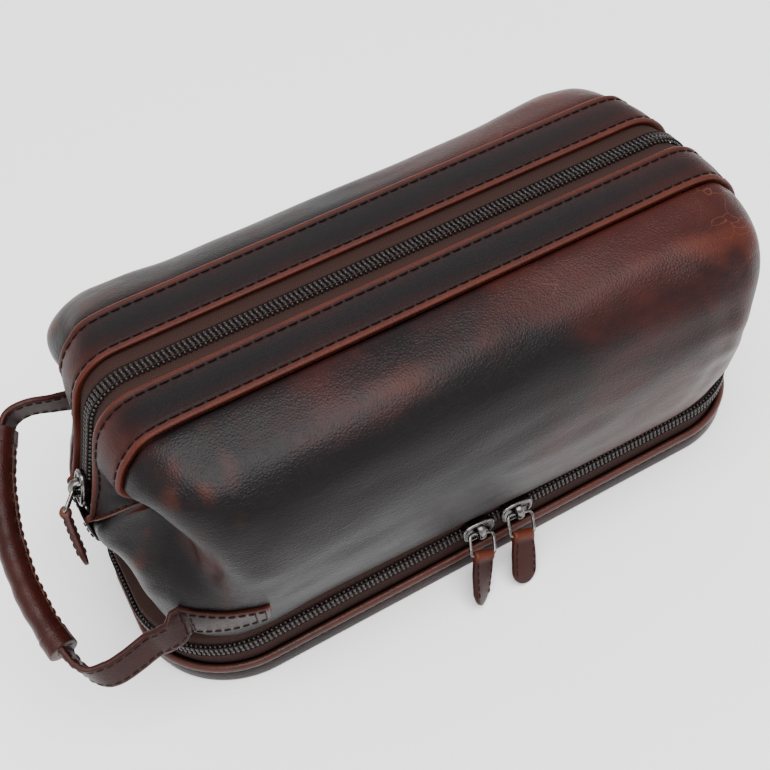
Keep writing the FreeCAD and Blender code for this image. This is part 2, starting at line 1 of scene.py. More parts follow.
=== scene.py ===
# %% [markdown]
# # A framed leather shaving kit bag
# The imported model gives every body, joint and size. This lesson dresses it: soft leather panels,
# zips with real teeth, thread, pulls and a rolled handle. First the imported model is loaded.

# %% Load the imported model
import math

import bmesh
import bpy
import numpy as np
from mathutils import Matrix, Vector
from mathutils import noise as relief_noise
from mathutils.bvhtree import BVHTree


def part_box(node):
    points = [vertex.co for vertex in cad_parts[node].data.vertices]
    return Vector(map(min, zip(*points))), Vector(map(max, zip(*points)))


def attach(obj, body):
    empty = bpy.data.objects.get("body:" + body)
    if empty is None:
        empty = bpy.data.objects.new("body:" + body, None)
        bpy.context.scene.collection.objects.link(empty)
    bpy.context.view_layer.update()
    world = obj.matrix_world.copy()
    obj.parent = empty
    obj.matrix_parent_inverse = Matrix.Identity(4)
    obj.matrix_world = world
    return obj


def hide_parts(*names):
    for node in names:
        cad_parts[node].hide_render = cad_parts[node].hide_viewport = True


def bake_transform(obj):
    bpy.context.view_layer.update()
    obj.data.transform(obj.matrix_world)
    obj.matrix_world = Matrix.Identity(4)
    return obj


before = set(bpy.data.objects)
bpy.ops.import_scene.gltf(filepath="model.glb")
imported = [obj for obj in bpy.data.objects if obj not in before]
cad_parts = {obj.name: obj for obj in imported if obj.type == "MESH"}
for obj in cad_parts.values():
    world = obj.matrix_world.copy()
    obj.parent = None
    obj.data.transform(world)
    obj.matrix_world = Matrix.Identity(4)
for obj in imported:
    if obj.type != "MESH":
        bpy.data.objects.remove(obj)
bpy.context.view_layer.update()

# %% [markdown]
# Sizes below are in millimetres, as a maker writes them, and one number turns them into metres.
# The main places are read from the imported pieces, so that the leather lands where the frame is.

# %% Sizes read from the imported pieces
MM = 0.001


def edge(node, axis, side):
    """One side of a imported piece's box, in millimetres. side 0 is low, 1 is high."""
    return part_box(node)[side][axis] / MM


TRAY_HALF_LENGTH, TRAY_HALF_WIDTH = edge("tray_shell", 0, 1), edge("tray_shell", 1, 1)
TRAY_CORNER = 37.0
ZIP_LEVEL = (edge("lower_coil_tray", 2, 1) + edge("lower_coil_bag", 2, 0)) / 2
ZIP_BACK_END = edge("lower_coil_tray", 1, 1)
CROWN = edge("front_band", 2, 1)
BAND_IN = -edge("front_band", 1, 1)
JAW_LEAN, JAW_BEND = math.radians(18.8), 18.0
JAW_FOOT_X, JAW_FOOT_Z = 127.0, 68.0
print("tray half length", TRAY_HALF_LENGTH, "zip at", ZIP_LEVEL, "crown", CROWN)

# %% [markdown]
# ## Tools for meshes
# Every piece here is a grid of points with faces between them, a tube along a line, or a set of
# short rods. Working with arrays keeps a long zip quick to build.

# %% Mesh helpers
def new_piece(name, points, faces, smooth=True):
    mesh = bpy.data.meshes.new(name)
    mesh.from_pydata([tuple(p) for p in np.asarray(points) * MM], [], faces)
    mesh.validate()
    mesh.update()
    if smooth:
        mesh.polygons.foreach_set("use_smooth", [True] * len(mesh.polygons))
    piece = bpy.data.objects.new(name, mesh)
    bpy.context.scene.collection.objects.link(piece)
    return piece


def grid_faces(rows, columns, close_rows=False, close_columns=False, start=0):
    faces = []
    for i in range(rows if close_rows else rows - 1):
        for j in range(columns if close_columns else columns - 1):
            a, b = i * columns + j, i * columns + (j + 1) % columns
            c, d = ((i + 1) % rows) * columns + (j + 1) % columns, ((i + 1) % rows) * columns + j
            faces.append((start + a, start + b, start + c, start + d))
    return faces


def finish_mesh(piece, bevel=0.0, subdivide=0, thickness=0.0):
    """Apply the modifiers that a piece needs, so that its mesh is final."""
    if thickness:
        solid = piece.modifiers.new("thickness", "SOLIDIFY")
        solid.thickness = thickness * MM
        solid.offset = -1
    if bevel:
        soft = piece.modifiers.new("soft edges", "BEVEL")
        soft.width, soft.segments, soft.limit_method = bevel * MM, 3, "ANGLE"
    if subdivide:
        smooth = piece.modifiers.new("smooth", "SUBSURF")
        smooth.levels = smooth.render_levels = subdivide
    if piece.modifiers:
        graph = bpy.context.evaluated_depsgraph_get()
        mesh = bpy.data.meshes.new_from_object(piece.evaluated_get(graph))
        piece.modifiers.clear()
        piece.data = mesh
    return piece


def face_outward(piece):
    work = bmesh.new()
    work.from_mesh(piece.data)
    bmesh.ops.recalc_face_normals(work, faces=work.faces)
    work.to_mesh(piece.data)
    work.free()
    return piece


print("pieces can be made")

# %% [markdown]
# Lines of points are smoothed, spaced evenly, and given width.

# %% Lines and tubes
def unit(v):
    v = np.asarray(v, float)
    return v / np.maximum(np.linalg.norm(v, axis=-1, keepdims=True), 1e-9)


def smooth_rows(points, steps):
    """Curve through points along the first axis (Catmull-Rom), with steps between two points."""
    points = np.asarray(points, float)
    padded = np.concatenate([2 * points[:1] - points[1:2], points, 2 * points[-1:] - points[-2:-1]])
    t = np.arange(steps) / steps
    shape = (steps,) + (1,) * (points.ndim - 1)
    t = t.reshape(shape)
    made = []
    for a, b, c, d in zip(padded, padded[1:], padded[2:], padded[3:]):
        made.append(0.5 * (2 * b + (c - a) * t + (2 * a - 5 * b + 4 * c - d) * t ** 2
                           + (3 * b - a - 3 * c + d) * t ** 3))
    return np.concatenate(made + [points[-1:]])


def even_line(points, spacing):
    """Points at an even spacing along a line of points, and the line's direction at each."""
    points = np.asarray(points, float)
    steps = np.linalg.norm(np.diff(points, axis=0), axis=1)
    travelled = np.concatenate([[0], np.cumsum(steps)])
    count = max(2, int(round(travelled[-1] / spacing)) + 1)
    at = np.linspace(0, travelled[-1], count)
    even = np.stack([np.interp(at, travelled, points[:, k]) for k in range(3)], 1)
    return even, unit(np.gradient(even, axis=0))


def along_with(points, values, spacing):
    """even_line's points, with another value carried along the same line."""
    both = np.concatenate([points, values], 1)
    steps = np.linalg.norm(np.diff(points, axis=0), axis=1)
    travelled = np.concatenate([[0], np.cumsum(steps)])
    count = max(2, int(round(travelled[-1] / spacing)) + 1)
    at = np.linspace(0, travelled[-1], count)
    even = np.stack([np.interp(at, travelled, both[:, k]) for k in range(both.shape[1])], 1)
    return even[:, :3], unit(even[:, 3:])


def tube(name, line, up, radius_out, radius_up, sides=12, closed=False):
    """Rounded tube along a line. up gives the direction of its second radius at each point."""
    line, up = np.asarray(line, float), np.asarray(up, float)
    along = unit(np.gradient(line, axis=0))
    if closed:
        along = unit(np.roll(line, -1, 0) - np.roll(line, 1, 0))
    out = unit(np.cross(along, up))
    over = unit(np.cross(out, along))
    angle = np.linspace(0, 2 * math.pi, sides, endpoint=False)
    radius_out = np.broadcast_to(radius_out, len(line))[:, None, None]
    radius_up = np.broadcast_to(radius_up, len(line))[:, None, None]
    ring = (line[:, None] + out[:, None] * np.cos(angle)[None, :, None] * radius_out
            + over[:, None] * np.sin(angle)[None, :, None] * radius_up)
    faces = grid_faces(len(line), sides, close_rows=closed, close_columns=True)
    points = ring.reshape(-1, 3)
    if not closed:
        faces += [tuple(range(sides)), tuple(len(points) - sides + k for k in reversed(range(sides)))]
    return face_outward(new_piece(name, points, faces))


print("lines can be made")

# %% [markdown]
# Zip turns are short rods, and thread is a row of short stitches that sit on the leather.

# %% Rods, stitches and dressing
def rods(name, starts, ends, radius, bulge=None, sides=7):
    """Many short round-ended rods in one piece: stitches, zip teeth. bulge lifts their middles."""
    starts, ends = np.asarray(starts, float), np.asarray(ends, float)
    along = unit(ends - starts)
    lift = np.zeros_like(starts) if bulge is None else np.asarray(bulge, float)
    helper = np.where(np.abs(along[:, 2:3]) < 0.9, [[0, 0, 1.0]], [[1.0, 0, 0]])
    one = unit(np.cross(along, helper))
    two = np.cross(along, one)
    stations = [(0.0, 0.45), (0.12, 0.85), (0.35, 1), (0.65, 1), (0.88, 0.85), (1.0, 0.45)]
    angle = np.linspace(0, 2 * math.pi, sides, endpoint=False)
    rings = []
    for t, fat in stations:
        centre = starts * (1 - t) + ends * t + lift * 4 * t * (1 - t)
        rings.append(centre[:, None] + radius * fat * (one[:, None] * np.cos(angle)[None, :, None]
                                                       + two[:, None] * np.sin(angle)[None, :, None]))
    block = np.stack(rings, 1)
    count, levels = len(starts), len(stations)
    template = grid_faces(levels, sides, close_columns=True)
    template += [tuple(reversed(range(sides))), tuple((levels - 1) * sides + k for k in range(sides))]
    size = levels * sides
    faces = [tuple(v + i * size for v in face) for i in range(count) for face in template]
    return face_outward(new_piece(name, block.reshape(-1, 3), faces))


def stitches(name, line, out, length=2.6, gap=0.9, radius=0.3, sink=0.1):
    """Thread along a line that lies on leather. out is the leather's outward direction."""
    points, normal = along_with(line, out, length + gap)
    points = points + normal * (radius * 0.5 - sink)
    ahead = points[1:] - points[:-1]
    share = length / (length + gap)
    lift = (normal[:-1] + normal[1:]) * 0.5 * radius * 0.35
    return rods(name, points[:-1], points[:-1] + ahead * share, radius, lift, sides=6)


def dress(piece, body, finish):
    """Give a piece its finish and the body that carries it."""
    piece.data.materials.clear()
    piece.data.materials.append(finish)
    if body:
        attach(piece, body)
    return piece


print("mesh helpers ready")

# %% [markdown]
# ## Sums on surfaces
# A finish is a small sum: so much grain, plus so much wear. This class wraps one socket of a
# material, so that a sum reads like ordinary Python and adds its own Math nodes.

# %% A socket that can be added, multiplied and mixed
class Wire:
    def __init__(self, tree, socket=None):
        self.tree, self.socket = tree, socket

    def node(self, kind, settings=None, inputs=None, out=0):
        """Add a node: its settings first, then the values or links of its sockets."""
        made = self.tree.nodes.new(kind)
        for name, setting in (settings or {}).items():
            if name == "stops":
                ramp = made.color_ramp
                while len(ramp.elements) < len(setting):
                    ramp.elements.new(0.5)
                for element, (place, colour) in zip(ramp.elements, setting):
                    element.position, element.color = place, (*colour, 1)
            else:
                setattr(made, name, setting)
        for name, given in (inputs or {}).items():
            if isinstance(given, Wire):
                self.tree.links.new(given.socket, made.inputs[name])
            else:
                made.inputs[name].default_value = given
        return Wire(self.tree, made.outputs[out])

    def sum(self, operation, first, second=0.0):
        return self.node("ShaderNodeMath", {"operation": operation}, {0: first, 1: second})

    def __add__(self, other): return self.sum("ADD", self, other)
    def __sub__(self, other): return self.sum("SUBTRACT", self, other)
    def __mul__(self, other): return self.sum("MULTIPLY", self, other)
    def __truediv__(self, other): return self.sum("DIVIDE", self, other)
    def __pow__(self, other): return self.sum("POWER", self, other)
    def __rsub__(self, other): return self.sum("SUBTRACT", other, self)
    __radd__, __rmul__ = __add__, __mul__

    def ramp(self, low, high, to_low=0.0, to_high=1.0):
        """Smooth step from one level to another."""
        levels = {"Value": self, "From Min": low, "From Max": high, "To Min": to_low, "To Max": to_high}
        return self.node("ShaderNodeMapRange", {"interpolation_type": "SMOOTHSTEP"}, levels)

    def colour(self, share, one, two, blend="MIX"):
        """Mix two colours by a share."""
        one = one if isinstance(one, Wire) else (*one, 1)
        two = two if isinstance(two, Wire) else (*two, 1)
        return self.node("ShaderNodeMix", {"data_type": "RGBA", "blend_type": blend},
                         {0: share, 6: one, 7: two}, out=2)

    def stretched(self, along, across, up):
        """A place, scaled differently along the three directions."""
        return self.node("ShaderNodeVectorMath", {"operation": "MULTIPLY"},
                         {0: self, 1: (along, across, up)})

    def noise(self, scale, detail=3.0, rough=0.55, twist=0.0):
        return self.node("ShaderNodeTexNoise", {}, {"Vector": self, "Scale": scale, "Detail": detail,
                                                    "Roughness": rough, "Distortion": twist})

    def cells(self, scale, feature="F1", randomness=1.0):
        return self.node("ShaderNodeTexVoronoi", {"feature": feature},
                         {"Vector": self, "Scale": scale, "Randomness": randomness})

    def waves(self, scale, direction="X", twist=0.0, profile="SIN"):
        settings = {"wave_type": "BANDS", "bands_direction": direction, "wave_profile": profile}
        return self.node("ShaderNodeTexWave", settings, {"Vector": self, "Scale": scale,
                                                         "Distortion": twist, "Detail": 2.0}, out=1)

    def measured(self, name):
        """A number stored at each point of the mesh, such as the wear."""
        return self.node("ShaderNodeAttribute", {"attribute_name": name}, out="Fac")


print("sums can be made")

# %% [markdown]
# Each finish starts from the same few nodes and closes them into one surface.

# %% Start and close a finish
def new_finish(name):
    """An empty finish: its wire, the place on the rest shape, and a function that closes it."""
    material = bpy.data.materials.new(name)
    material.use_nodes = True
    tree = material.node_tree
    tree.nodes.clear()
    wire = Wire(tree)
    place = wire.node("ShaderNodeTexCoord", out="Object")

    def close(colour, roughness, height=None, bump=0.0002, strength=0.5, metal=0.0, **constants):
        shader = tree.nodes.new("ShaderNodeBsdfPrincipled")
        links = {"Base Color": colour, "Roughness": roughness, "Metallic": metal}
        if height:
            links["Normal"] = wire.node("ShaderNodeBump", {}, {"Height": height, "Distance": bump,
                                                               "Strength": strength}, out="Normal")
        for socket, given in links.items():
            if isinstance(given, Wire):
                tree.links.new(given.socket, shader.inputs[socket])
            else:
                shader.inputs[socket].default_value = (*given, 1) if isinstance(given, tuple) else given
        for socket, number in constants.items():
            shader.inputs[socket.replace("_", " ")].default_value = number
        output = tree.nodes.new("ShaderNodeOutputMaterial")
        tree.links.new(shader.outputs[0], output.inputs[0])
        return material
    return wire, place, close


print("shader sums ready")

# %% [markdown]
# ## Leather
# Waxed pull-up leather is nearly black where it is thick, and oxblood where it was bent, rubbed or
# stretched. Each leather mesh stores two numbers at its points: wear, which is high on ridges and
# edges, and red, which says how far the hide was burnished there. Noise adds the mottling, thin
# cells add the veins, and fine cells make the grain. The shine is kept low so that the dark stays deep.

# %% Leather finishes
INK, OXBLOOD, RUSSET = (0.0030, 0.0018, 0.0023), (0.030, 0.0042, 0.0028), (0.070, 0.0145, 0.0065)


def leather(name, dark=INK, warm=OXBLOOD, worn=RUSSET, grain=900.0, mottled=1.0, rough=0.40,
            creases=1.0, veins=0.0, shine=0.16, coat=0.0):
    wire, place, close = new_finish(name)
    wear, red = wire.measured("wear"), wire.measured("red")
    broad = place.noise(16.0, 4.0, 0.62, 0.6)
    middle = place.stretched(1.0, 1.3, 1.8).noise(70.0, 4.0, 0.6, 0.4)
    share = (red + (broad - 0.5) * (1.5 * mottled) + (middle - 0.5) * (0.55 * mottled)).ramp(0.15, 1.0)
    colour = wire.colour(share, dark, warm)
    rub = (wear + (middle - 0.5) * 0.35).ramp(0.2, 1.0)
    colour = wire.colour(rub, colour, worn)
    if veins:
        bent = place.node("ShaderNodeTexNoise", {}, {"Vector": place, "Scale": 22.0, "Detail": 3.0},
                          out="Color")
        moved = wire.node("ShaderNodeMix", {"data_type": "VECTOR"}, {0: 0.085, 4: place, 5: bent}, out=1)
        crack = moved.cells(95.0, "DISTANCE_TO_EDGE").ramp(0.0, 0.022, 1.0, 0.0)
        patchy = place.noise(16.0, 2.0).ramp(0.47, 0.60)
        vein = crack * patchy * red.ramp(0.35, 0.8) * veins
        colour = wire.colour(vein, colour, (0.095, 0.027, 0.011))
    pebble = place.cells(grain, "DISTANCE_TO_EDGE")
    fine = place.stretched(1.0, 1.0, 1.6).noise(grain * 0.55, 5.0, 0.7)
    fold = place.stretched(0.7, 1.0, 2.6).noise(85.0, 3.0, 0.6, 1.2)
    height = pebble.ramp(0.0, 0.35) * 0.35 + fine * 0.65 + fold * (0.9 * creases)
    gloss = rough + (middle - 0.5) * 0.16 + (fine - 0.5) * 0.12 - wear * 0.05
    return close(colour, gloss, height, bump=0.00035, strength=0.42, Specular_IOR_Level=shine,
                 Coat_Weight=coat, Coat_Roughness=0.3)


panel_leather = leather("panel_leather", veins=0.9, creases=1.0)
band_leather = leather("band_leather", dark=(0.0038, 0.0024, 0.0030), warm=(0.026, 0.0048, 0.0034),
                       worn=(0.070, 0.0155, 0.0085), mottled=0.45, grain=1300.0, creases=0.25,
                       rough=0.46, shine=0.13, coat=0.0)
tray_leather = leather("tray_leather", dark=(0.0075, 0.0030, 0.0030), warm=(0.036, 0.0068, 0.0048),
                       worn=(0.068, 0.0160, 0.0085), mottled=0.8, creases=0.5, rough=0.42,
                       shine=0.22, coat=0.0)
strap_leather = leather("strap_leather", dark=(0.0060, 0.0024, 0.0024), warm=(0.029, 0.0052, 0.0036),
                        worn=(0.066, 0.0145, 0.0070), mottled=0.7, creases=0.5, grain=1100.0,
                        shine=0.15, coat=0.0)
print("leather finishes made")

# %% [markdown]
# ## Thread, tape, coil and metal
# Waxed thread is dark and twisted. Zip tape is a brown herringbone: two sets of slanting ribs
# that change direction every few ribs. The coil is black moulded nylon with a soft gloss, and the
# sliders are antique gunmetal, brighter where the plating rubs.

# %% Small finishes
def thread_finish():
    wire, place, close = new_finish("waxed_thread")
    twist = place.waves(420.0, "DIAGONAL")
    colour = wire.colour(place.noise(300.0), (0.006, 0.0026, 0.0024), (0.018, 0.0055, 0.0040))
    return close(colour, 0.6, twist, bump=0.0001, strength=0.5, Specular_IOR_Level=0.12)


def tape_finish():
    wire, place, close = new_finish("zip_tape")
    along, across = wire.measured("along"), wire.measured("across")
    zigzag = wire.sum("PINGPONG", across, 1.1)
    rib = wire.sum("PINGPONG", along + zigzag, 0.45) * 2.2
    fuzz = place.noise(2500.0, 2.0)
    colour = wire.colour(rib * 0.75 + fuzz * 0.25, (0.009, 0.0042, 0.0036), (0.036, 0.0160, 0.0125))
    return close(colour, 0.85, rib + fuzz * 0.3, bump=0.00015, strength=0.6,
                 Specular_IOR_Level=0.15)


def plain_finish(name, one, two, rough, scale=400.0, metal=0.0, bump=0.00005, **constants):
    wire, place, close = new_finish(name)
    blotch = place.noise(scale, 4.0)
    colour = wire.colour(blotch.ramp(0.3, 0.7), one, two)
    return close(colour, rough + (blotch - 0.5) * 0.2, place.noise(scale * 4, 2.0), bump=bump,
                 strength=0.3, metal=metal, **constants)


def cloth_finish(name, one, two, pitch=1400.0):
    wire, place, close = new_finish(name)
    weave = place.waves(pitch, "X") * 0.5 + place.waves(pitch, "Y") * 0.5
    colour = wire.colour(weave * 0.7 + place.noise(60.0) * 0.3, one, two)
    return close(colour, 0.85, weave, bump=0.0001, strength=0.4)


thread = thread_finish()
zip_tape = tape_finish()
zip_coil = plain_finish("zip_coil", (0.006, 0.005, 0.005), (0.013, 0.011, 0.010), 0.32,
                        Specular_IOR_Level=0.35)
gunmetal = plain_finish("gunmetal", (0.085, 0.08, 0.078), (0.20, 0.19, 0.18), 0.24, 700.0, 1.0)
frame_steel = plain_finish("frame_steel", (0.045, 0.045, 0.05), (0.08, 0.08, 0.085), 0.4, 500.0, 1.0)
stiff_board = plain_finish("stiffener_board", (0.30, 0.23, 0.15), (0.38, 0.30, 0.21), 0.8, 250.0)
lining_cloth = cloth_finish("lining_cloth", (0.028, 0.017, 0.013), (0.07, 0.045, 0.035))
print("small finishes made")

# %% [markdown]
# ## The soft panels
# Each side of the bag is one soft hide that hangs from the framed mouth and is sewn in below, with
# a deep fold beside each end of the mouth where the frame pulls it in. A cloth run could find such
# a fold, but not this one, so the hide is drawn as a maker would pin it: a few lines from the hem
# up to the seam, and a smooth surface through them.

# %% Lines of the front left quarter, from the end round to the middle, each from hem to seam
LINES = np.array([
    [(-118.3, 0, 27), (-118.9, 0, 34), (-119.6, 0, 42), (-121, 0, 50), (-124, 0, 56.5), (-125.6, 0, 60.5),
     (-126.1, 0, 65), (-126.1, 0, 69), (-126.2, 0, 72)],
    [(-118.3, -7.5, 27), (-118.9, -7.5, 34), (-119.6, -7.5, 42), (-120.8, -7.5, 50), (-123.6, -7.6, 56.5),
     (-125.3, -7.7, 61), (-125.8, -7.8, 65.5), (-125.3, -8.1, 69.5), (-125.2, -8.6, 73)],
    [(-118.2, -14, 27), (-118.9, -14, 34), (-119.6, -14, 42), (-120.4, -14, 50), (-122.4, -14, 57),
     (-124.2, -14, 62.5), (-124.3, -14.3, 67.5), (-123.6, -15, 73), (-121.5, -16, 79)],
    [(-117, -23.5, 27), (-118, -24.2, 34), (-119, -25, 42), (-119.4, -26, 50.5), (-118.8, -26.5, 60),
     (-116.3, -26.3, 68.5), (-113.2, -25.6, 76), (-111, -25.4, 83), (-111, -26, 90)],
    [(-113.2, -32.5, 27), (-115, -34.5, 34.5), (-116, -36.5, 42), (-115.6, -37, 50), (-112.3, -35.5, 60),
     (-106.8, -32, 70), (-102.5, -29.5, 79), (-101.3, -28.5, 87), (-103.5, -30.5, 93.5)],
    [(-107, -39.8, 27.5), (-109.2, -42.3, 35), (-110.2, -44.5, 43), (-109.6, -45.3, 51),
     (-106, -43.6, 60.5), (-101, -38.6, 71), (-99.2, -34.3, 80), (-99.8, -32.4, 89), (-106, -31, 95.5)],
    [(-99, -44.8, 28), (-101.3, -47.5, 36.5), (-102.1, -49.8, 45), (-101.3, -51, 54), (-99.5, -49, 64),
     (-99.5, -44, 76), (-101.5, -40.5, 87), (-105.5, -36.5, 97), (-112.8, -29.5, 101)],
    [(-90, -47, 29), (-92.3, -50.5, 38), (-93.2, -53.5, 48), (-93.3, -55.2, 58), (-94, -55.8, 69),
     (-95.5, -54.5, 81.5), (-99, -51, 93), (-104.5, -43, 104), (-112.5, -29.4, 106.5)],
    [(-82, -47.8, 30), (-83.8, -52, 40), (-85, -55.5, 51.5), (-85.8, -58, 63), (-87, -60, 75),
     (-89, -59.5, 87), (-92.5, -56, 98), (-98, -47, 108.5), (-107.5, -29.3, 113.8)],
    [(-70, -48, 31), (-72, -53, 42), (-73.5, -56.5, 53), (-75, -59.3, 65), (-77, -61.2, 78),
     (-79, -61, 90), (-82, -57.5, 101.5), (-87, -48, 111.8), (-98, -29.3, 119.2)],
    [(-50, -48.2, 31), (-52, -53, 42), (-53.5, -56.8, 53), (-55, -59.8, 65.5), (-57, -61.4, 79),
     (-59, -60.7, 91.5), (-61, -57, 103), (-64, -47.5, 113), (-70, -29.3, 119.8)],
    [(-25, -48.3, 30.5), (-26, -53, 41.5), (-26.5, -56.8, 53), (-27, -59.8, 65.5), (-28, -61.4, 79),
     (-29, -60.7, 91.5), (-30, -57, 103), (-31, -47.5, 113), (-33, -29.3, 119.8)],
    [(0, -48.3, 30), (0, -53, 41), (0, -56.8, 53), (0, -59.8, 65.5), (0, -61.4, 79), (0, -60.7, 91.5),
     (0, -57, 103), (0, -47.5, 113), (0, -29.3, 119.8)],
])
FOLD = np.array([0, 0, 0.15, 0.6, 1, 1, 1, 0.95, 0.75, 0.3, 0, 0, 0])
PLUMP = np.array([0, 0, 0.1, 0.3, 0.75, 1, 1, 0.85, 0])


def panel_lines(left_ease, right_ease, hem_height):
    """Lines of one side, from the left end's middle to the right. An ease fills a corner out."""
    halves = []
    for flip, ease in ((1, left_ease), (-1, right_ease)):
        half = LINES.copy()
        softened = (FOLD[:, None] * PLUMP[None, :])[..., None]
        half = half + unit(half * [1, 1.4, 0]) * softened * ease
        halves.append(half * [flip, 1, 1])
    whole = np.concatenate([halves[0], halves[1][-2::-1]])
    drop = np.maximum(whole[:, 0, 2] - hem_height(whole[:, 0, 0]), 0)
    whole[:, :, 2] -= drop[:, None] * np.linspace(1, 0, 9)[None, :] ** 1.5
    return whole


def front_hem(x):
    return 31.2 - 5.2 / (1 + np.exp(-(x - 5) / 22))


def back_hem(x):
    return np.full_like(x, 25.8)


STEPS = 8
flat_hides = {}
for side, eases, hem in (("front", (0.0, 6.0), front_hem), ("back", (10.5, 9.0), back_hem)):
    lines = panel_lines(*eases, hem)
    flat_hides[side] = smooth_rows(smooth_rows(lines, STEPS).transpose(1, 0, 2), STEPS).transpose(1, 0, 2)
    print(side, "hide has", flat_hides[side].shape[0], "by", flat_hides[side].shape[1], "points")

# %% [markdown]
# A filled hide is never even. Soft swells, small creases that run out of the folds, and a slight
# sag over the lower zip are added as moves along the surface's own direction. They are worked out
# from fixed noise, so the bag is the same each time.

# %% Relief of the hide
def directions(surface, front):
    along = np.gradient(surface, axis=0)
    up = np.gradient(surface, axis=1)
    return unit(np.cross(along, up)) * (1 if front else -1)


def ripple(points, scale, stretch=(1, 1, 1), shift=0.0):
    places = points.reshape(-1, 3) * np.array(stretch) / scale + shift
    values = [relief_noise.noise(Vector(p)) for p in places]
    return np.array(values).reshape(points.shape[:-1])


def bump_of(x, centre, width):
    return np.exp(-((x - centre) / width) ** 2)


def tuck(surface, out, depth, reach):
    """Push the last row under the band that is sewn over it."""
    gap = np.linalg.norm(surface - surface[:, -1:], axis=2)
    return surface - out * (depth * np.exp(-(gap / reach) ** 2))[..., None]


def relieved(surface, front, shift):
    out = directions(surface, front)
    x, y, z = surface[..., 0], np.abs(surface[..., 1]), surface[..., 2]
    free = np.clip((z - 28) / 14, 0, 1) * np.clip((y - 12) / 14, 0, 1)
    gap = np.linalg.norm(surface - surface[:, -1:], axis=2)
    free = free * np.clip(gap / 16, 0, 1)
    swell = ripple(surface, 58, (1, 1, 1), shift) * 1.7
    crease = ripple(surface, 13, (0.55, 1, 1.5), shift + 5) * 0.42
    near_fold = bump_of(np.abs(x), 100, 26)
    pleat = ripple(surface, 9, (1.0, 0.6, 0.5), shift + 9) * 0.85 * near_fold
    return surface + out * ((swell + crease + pleat) * free)[..., None]


def curvature(surface, front):
    """How sharply the surface stands out, from 0 in hollows to 1 on ridges."""
    out = directions(surface, front)
    round_mean = (np.roll(surface, 3, 0) + np.roll(surface, -3, 0) + np.roll(surface, 3, 1)
                  + np.roll(surface, -3, 1)) / 4
    stand = np.sum((surface - round_mean) * out, axis=2)
    stand[:3], stand[-3:], stand[:, :3], stand[:, -3:] = 0, 0, 0, 0
    return np.clip(stand / 0.7, -1, 1)


def store(piece, **values):
    """Store numbers at a piece's points for its finish to read."""
    for name, value in values.items():
        layer = piece.data.attributes.new(name, "FLOAT", "POINT")
        value = np.broadcast_to(value, len(piece.data.vertices)).astype(np.float32)
        layer.data.foreach_set("value", np.ascontiguousarray(value.ravel()))
    return piece


def sheet_piece(name, surface, front, thickness, subdivide=0, **values):
    rows, columns = surface.shape[:2]
    faces = grid_faces(rows, columns)
    if front:
        faces = [face[::-1] for face in faces]
    piece = new_piece(name, surface.reshape(-1, 3), faces)
    store(piece, **{key: np.asarray(v).ravel() for key, v in values.items()})
    return finish_mesh(piece, thickness=thickness, subdivide=subdivide)


print("relief ready")

# %% Make the two panels and their linings
MIRROR = np.array([1, -1, 1])
ZERO_BLEND, FULL_BLEND = (0, 0, 30 * MM), (0, 0, 80 * MM)
hides = {}
for side, front in (("front", True), ("back", False)):
    surface = flat_hides[side] * (1 if front else MIRROR)
    surface = relieved(surface, front, 3.0 if front else 17.0)
    hides[side] = surface
    out = directions(surface, front)
    shell = tuck(surface, out, 1.3, 2.2)
    x, z = surface[..., 0], surface[..., 2]
    ridge = curvature(surface, front)
    red = 0.02 + 0.58 / (1 + np.exp(-(x - 22) / 15)) + 0.34 * bump_of(z, 116, 8) + 0.22 * bump_of(z, 29, 7)
    red += 0.62 * bump_of(x, -98.5, 4.5) * bump_of(z, 80, 20) + 0.15 * ripple(surface, 30, (1, 1, 1), 40)
    wear = np.clip((ridge - 0.25) / 0.75, 0, 1) * 0.55 + 0.25 * bump_of(z, 118.5, 2)
    panel = sheet_piece(side + "_hide", shell, front, 1.4, 1, wear=wear, red=red)
    dress(panel, None, panel_leather)
    inner = sheet_piece(side + "_lining", shell - out * 1.5, front, 0.4)
    dress(inner, None, lining_cloth)
    for piece in (panel, inner):
        side + "_jaw"
        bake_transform(piece)
        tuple(ZERO_BLEND)
        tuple(FULL_BLEND)
    print(panel.name, len(panel.data.vertices), "points")
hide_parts("front_panel", "left_end_panel", "right_end_panel")
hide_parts("back_panel")
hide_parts("main_lining")

# %% [markdown]
# ## The bands beside the top zip
# A band of firm leather is sewn over each hide and carries the frame. Its two edges are turned
# over a cord, so they stand up and rub red-brown, and a row of thread runs just inside each. The
# inner edge follows the frame's path; the outer edge follows the hide's seam into the fold.

# %% Path of the frame
def frame_path(samples=900):
    """Points (x, z) over the mouth, from the left foot to the right foot."""
    lean, top, radius = JAW_LEAN, CROWN, JAW_BEND
    corner = JAW_FOOT_X - (top - JAW_FOOT_Z) * math.tan(lean)
    reach = radius * math.tan((math.pi / 2 - lean) / 2)
    centre = (corner - reach, top - radius)
    turn = np.linspace(math.pi / 2, lean, 60)
    arc = np.stack([centre[0] + radius * np.cos(turn), centre[1] + radius * np.sin(turn)], 1)
    foot_z = 71.0
    foot = [(JAW_FOOT_X - (foot_z - JAW_FOOT_Z) * math.tan(lean), foot_z)]
    half = np.concatenate([[(0, top)], arc, foot])
    whole = np.concatenate([half[::-1] * [-1, 1], half[1:]])
    steps = np.linalg.norm(np.diff(whole, axis=0), axis=1)
    travelled = np.concatenate([[0], np.cumsum(steps)])
    at = np.linspace(0, travelled[-1], samples)
    return np.stack([np.interp(at, travelled, whole[:, k]) for k in range(2)], 1), at


path_xz, path_at = frame_path()
PATH_LENGTH = path_at[-1]


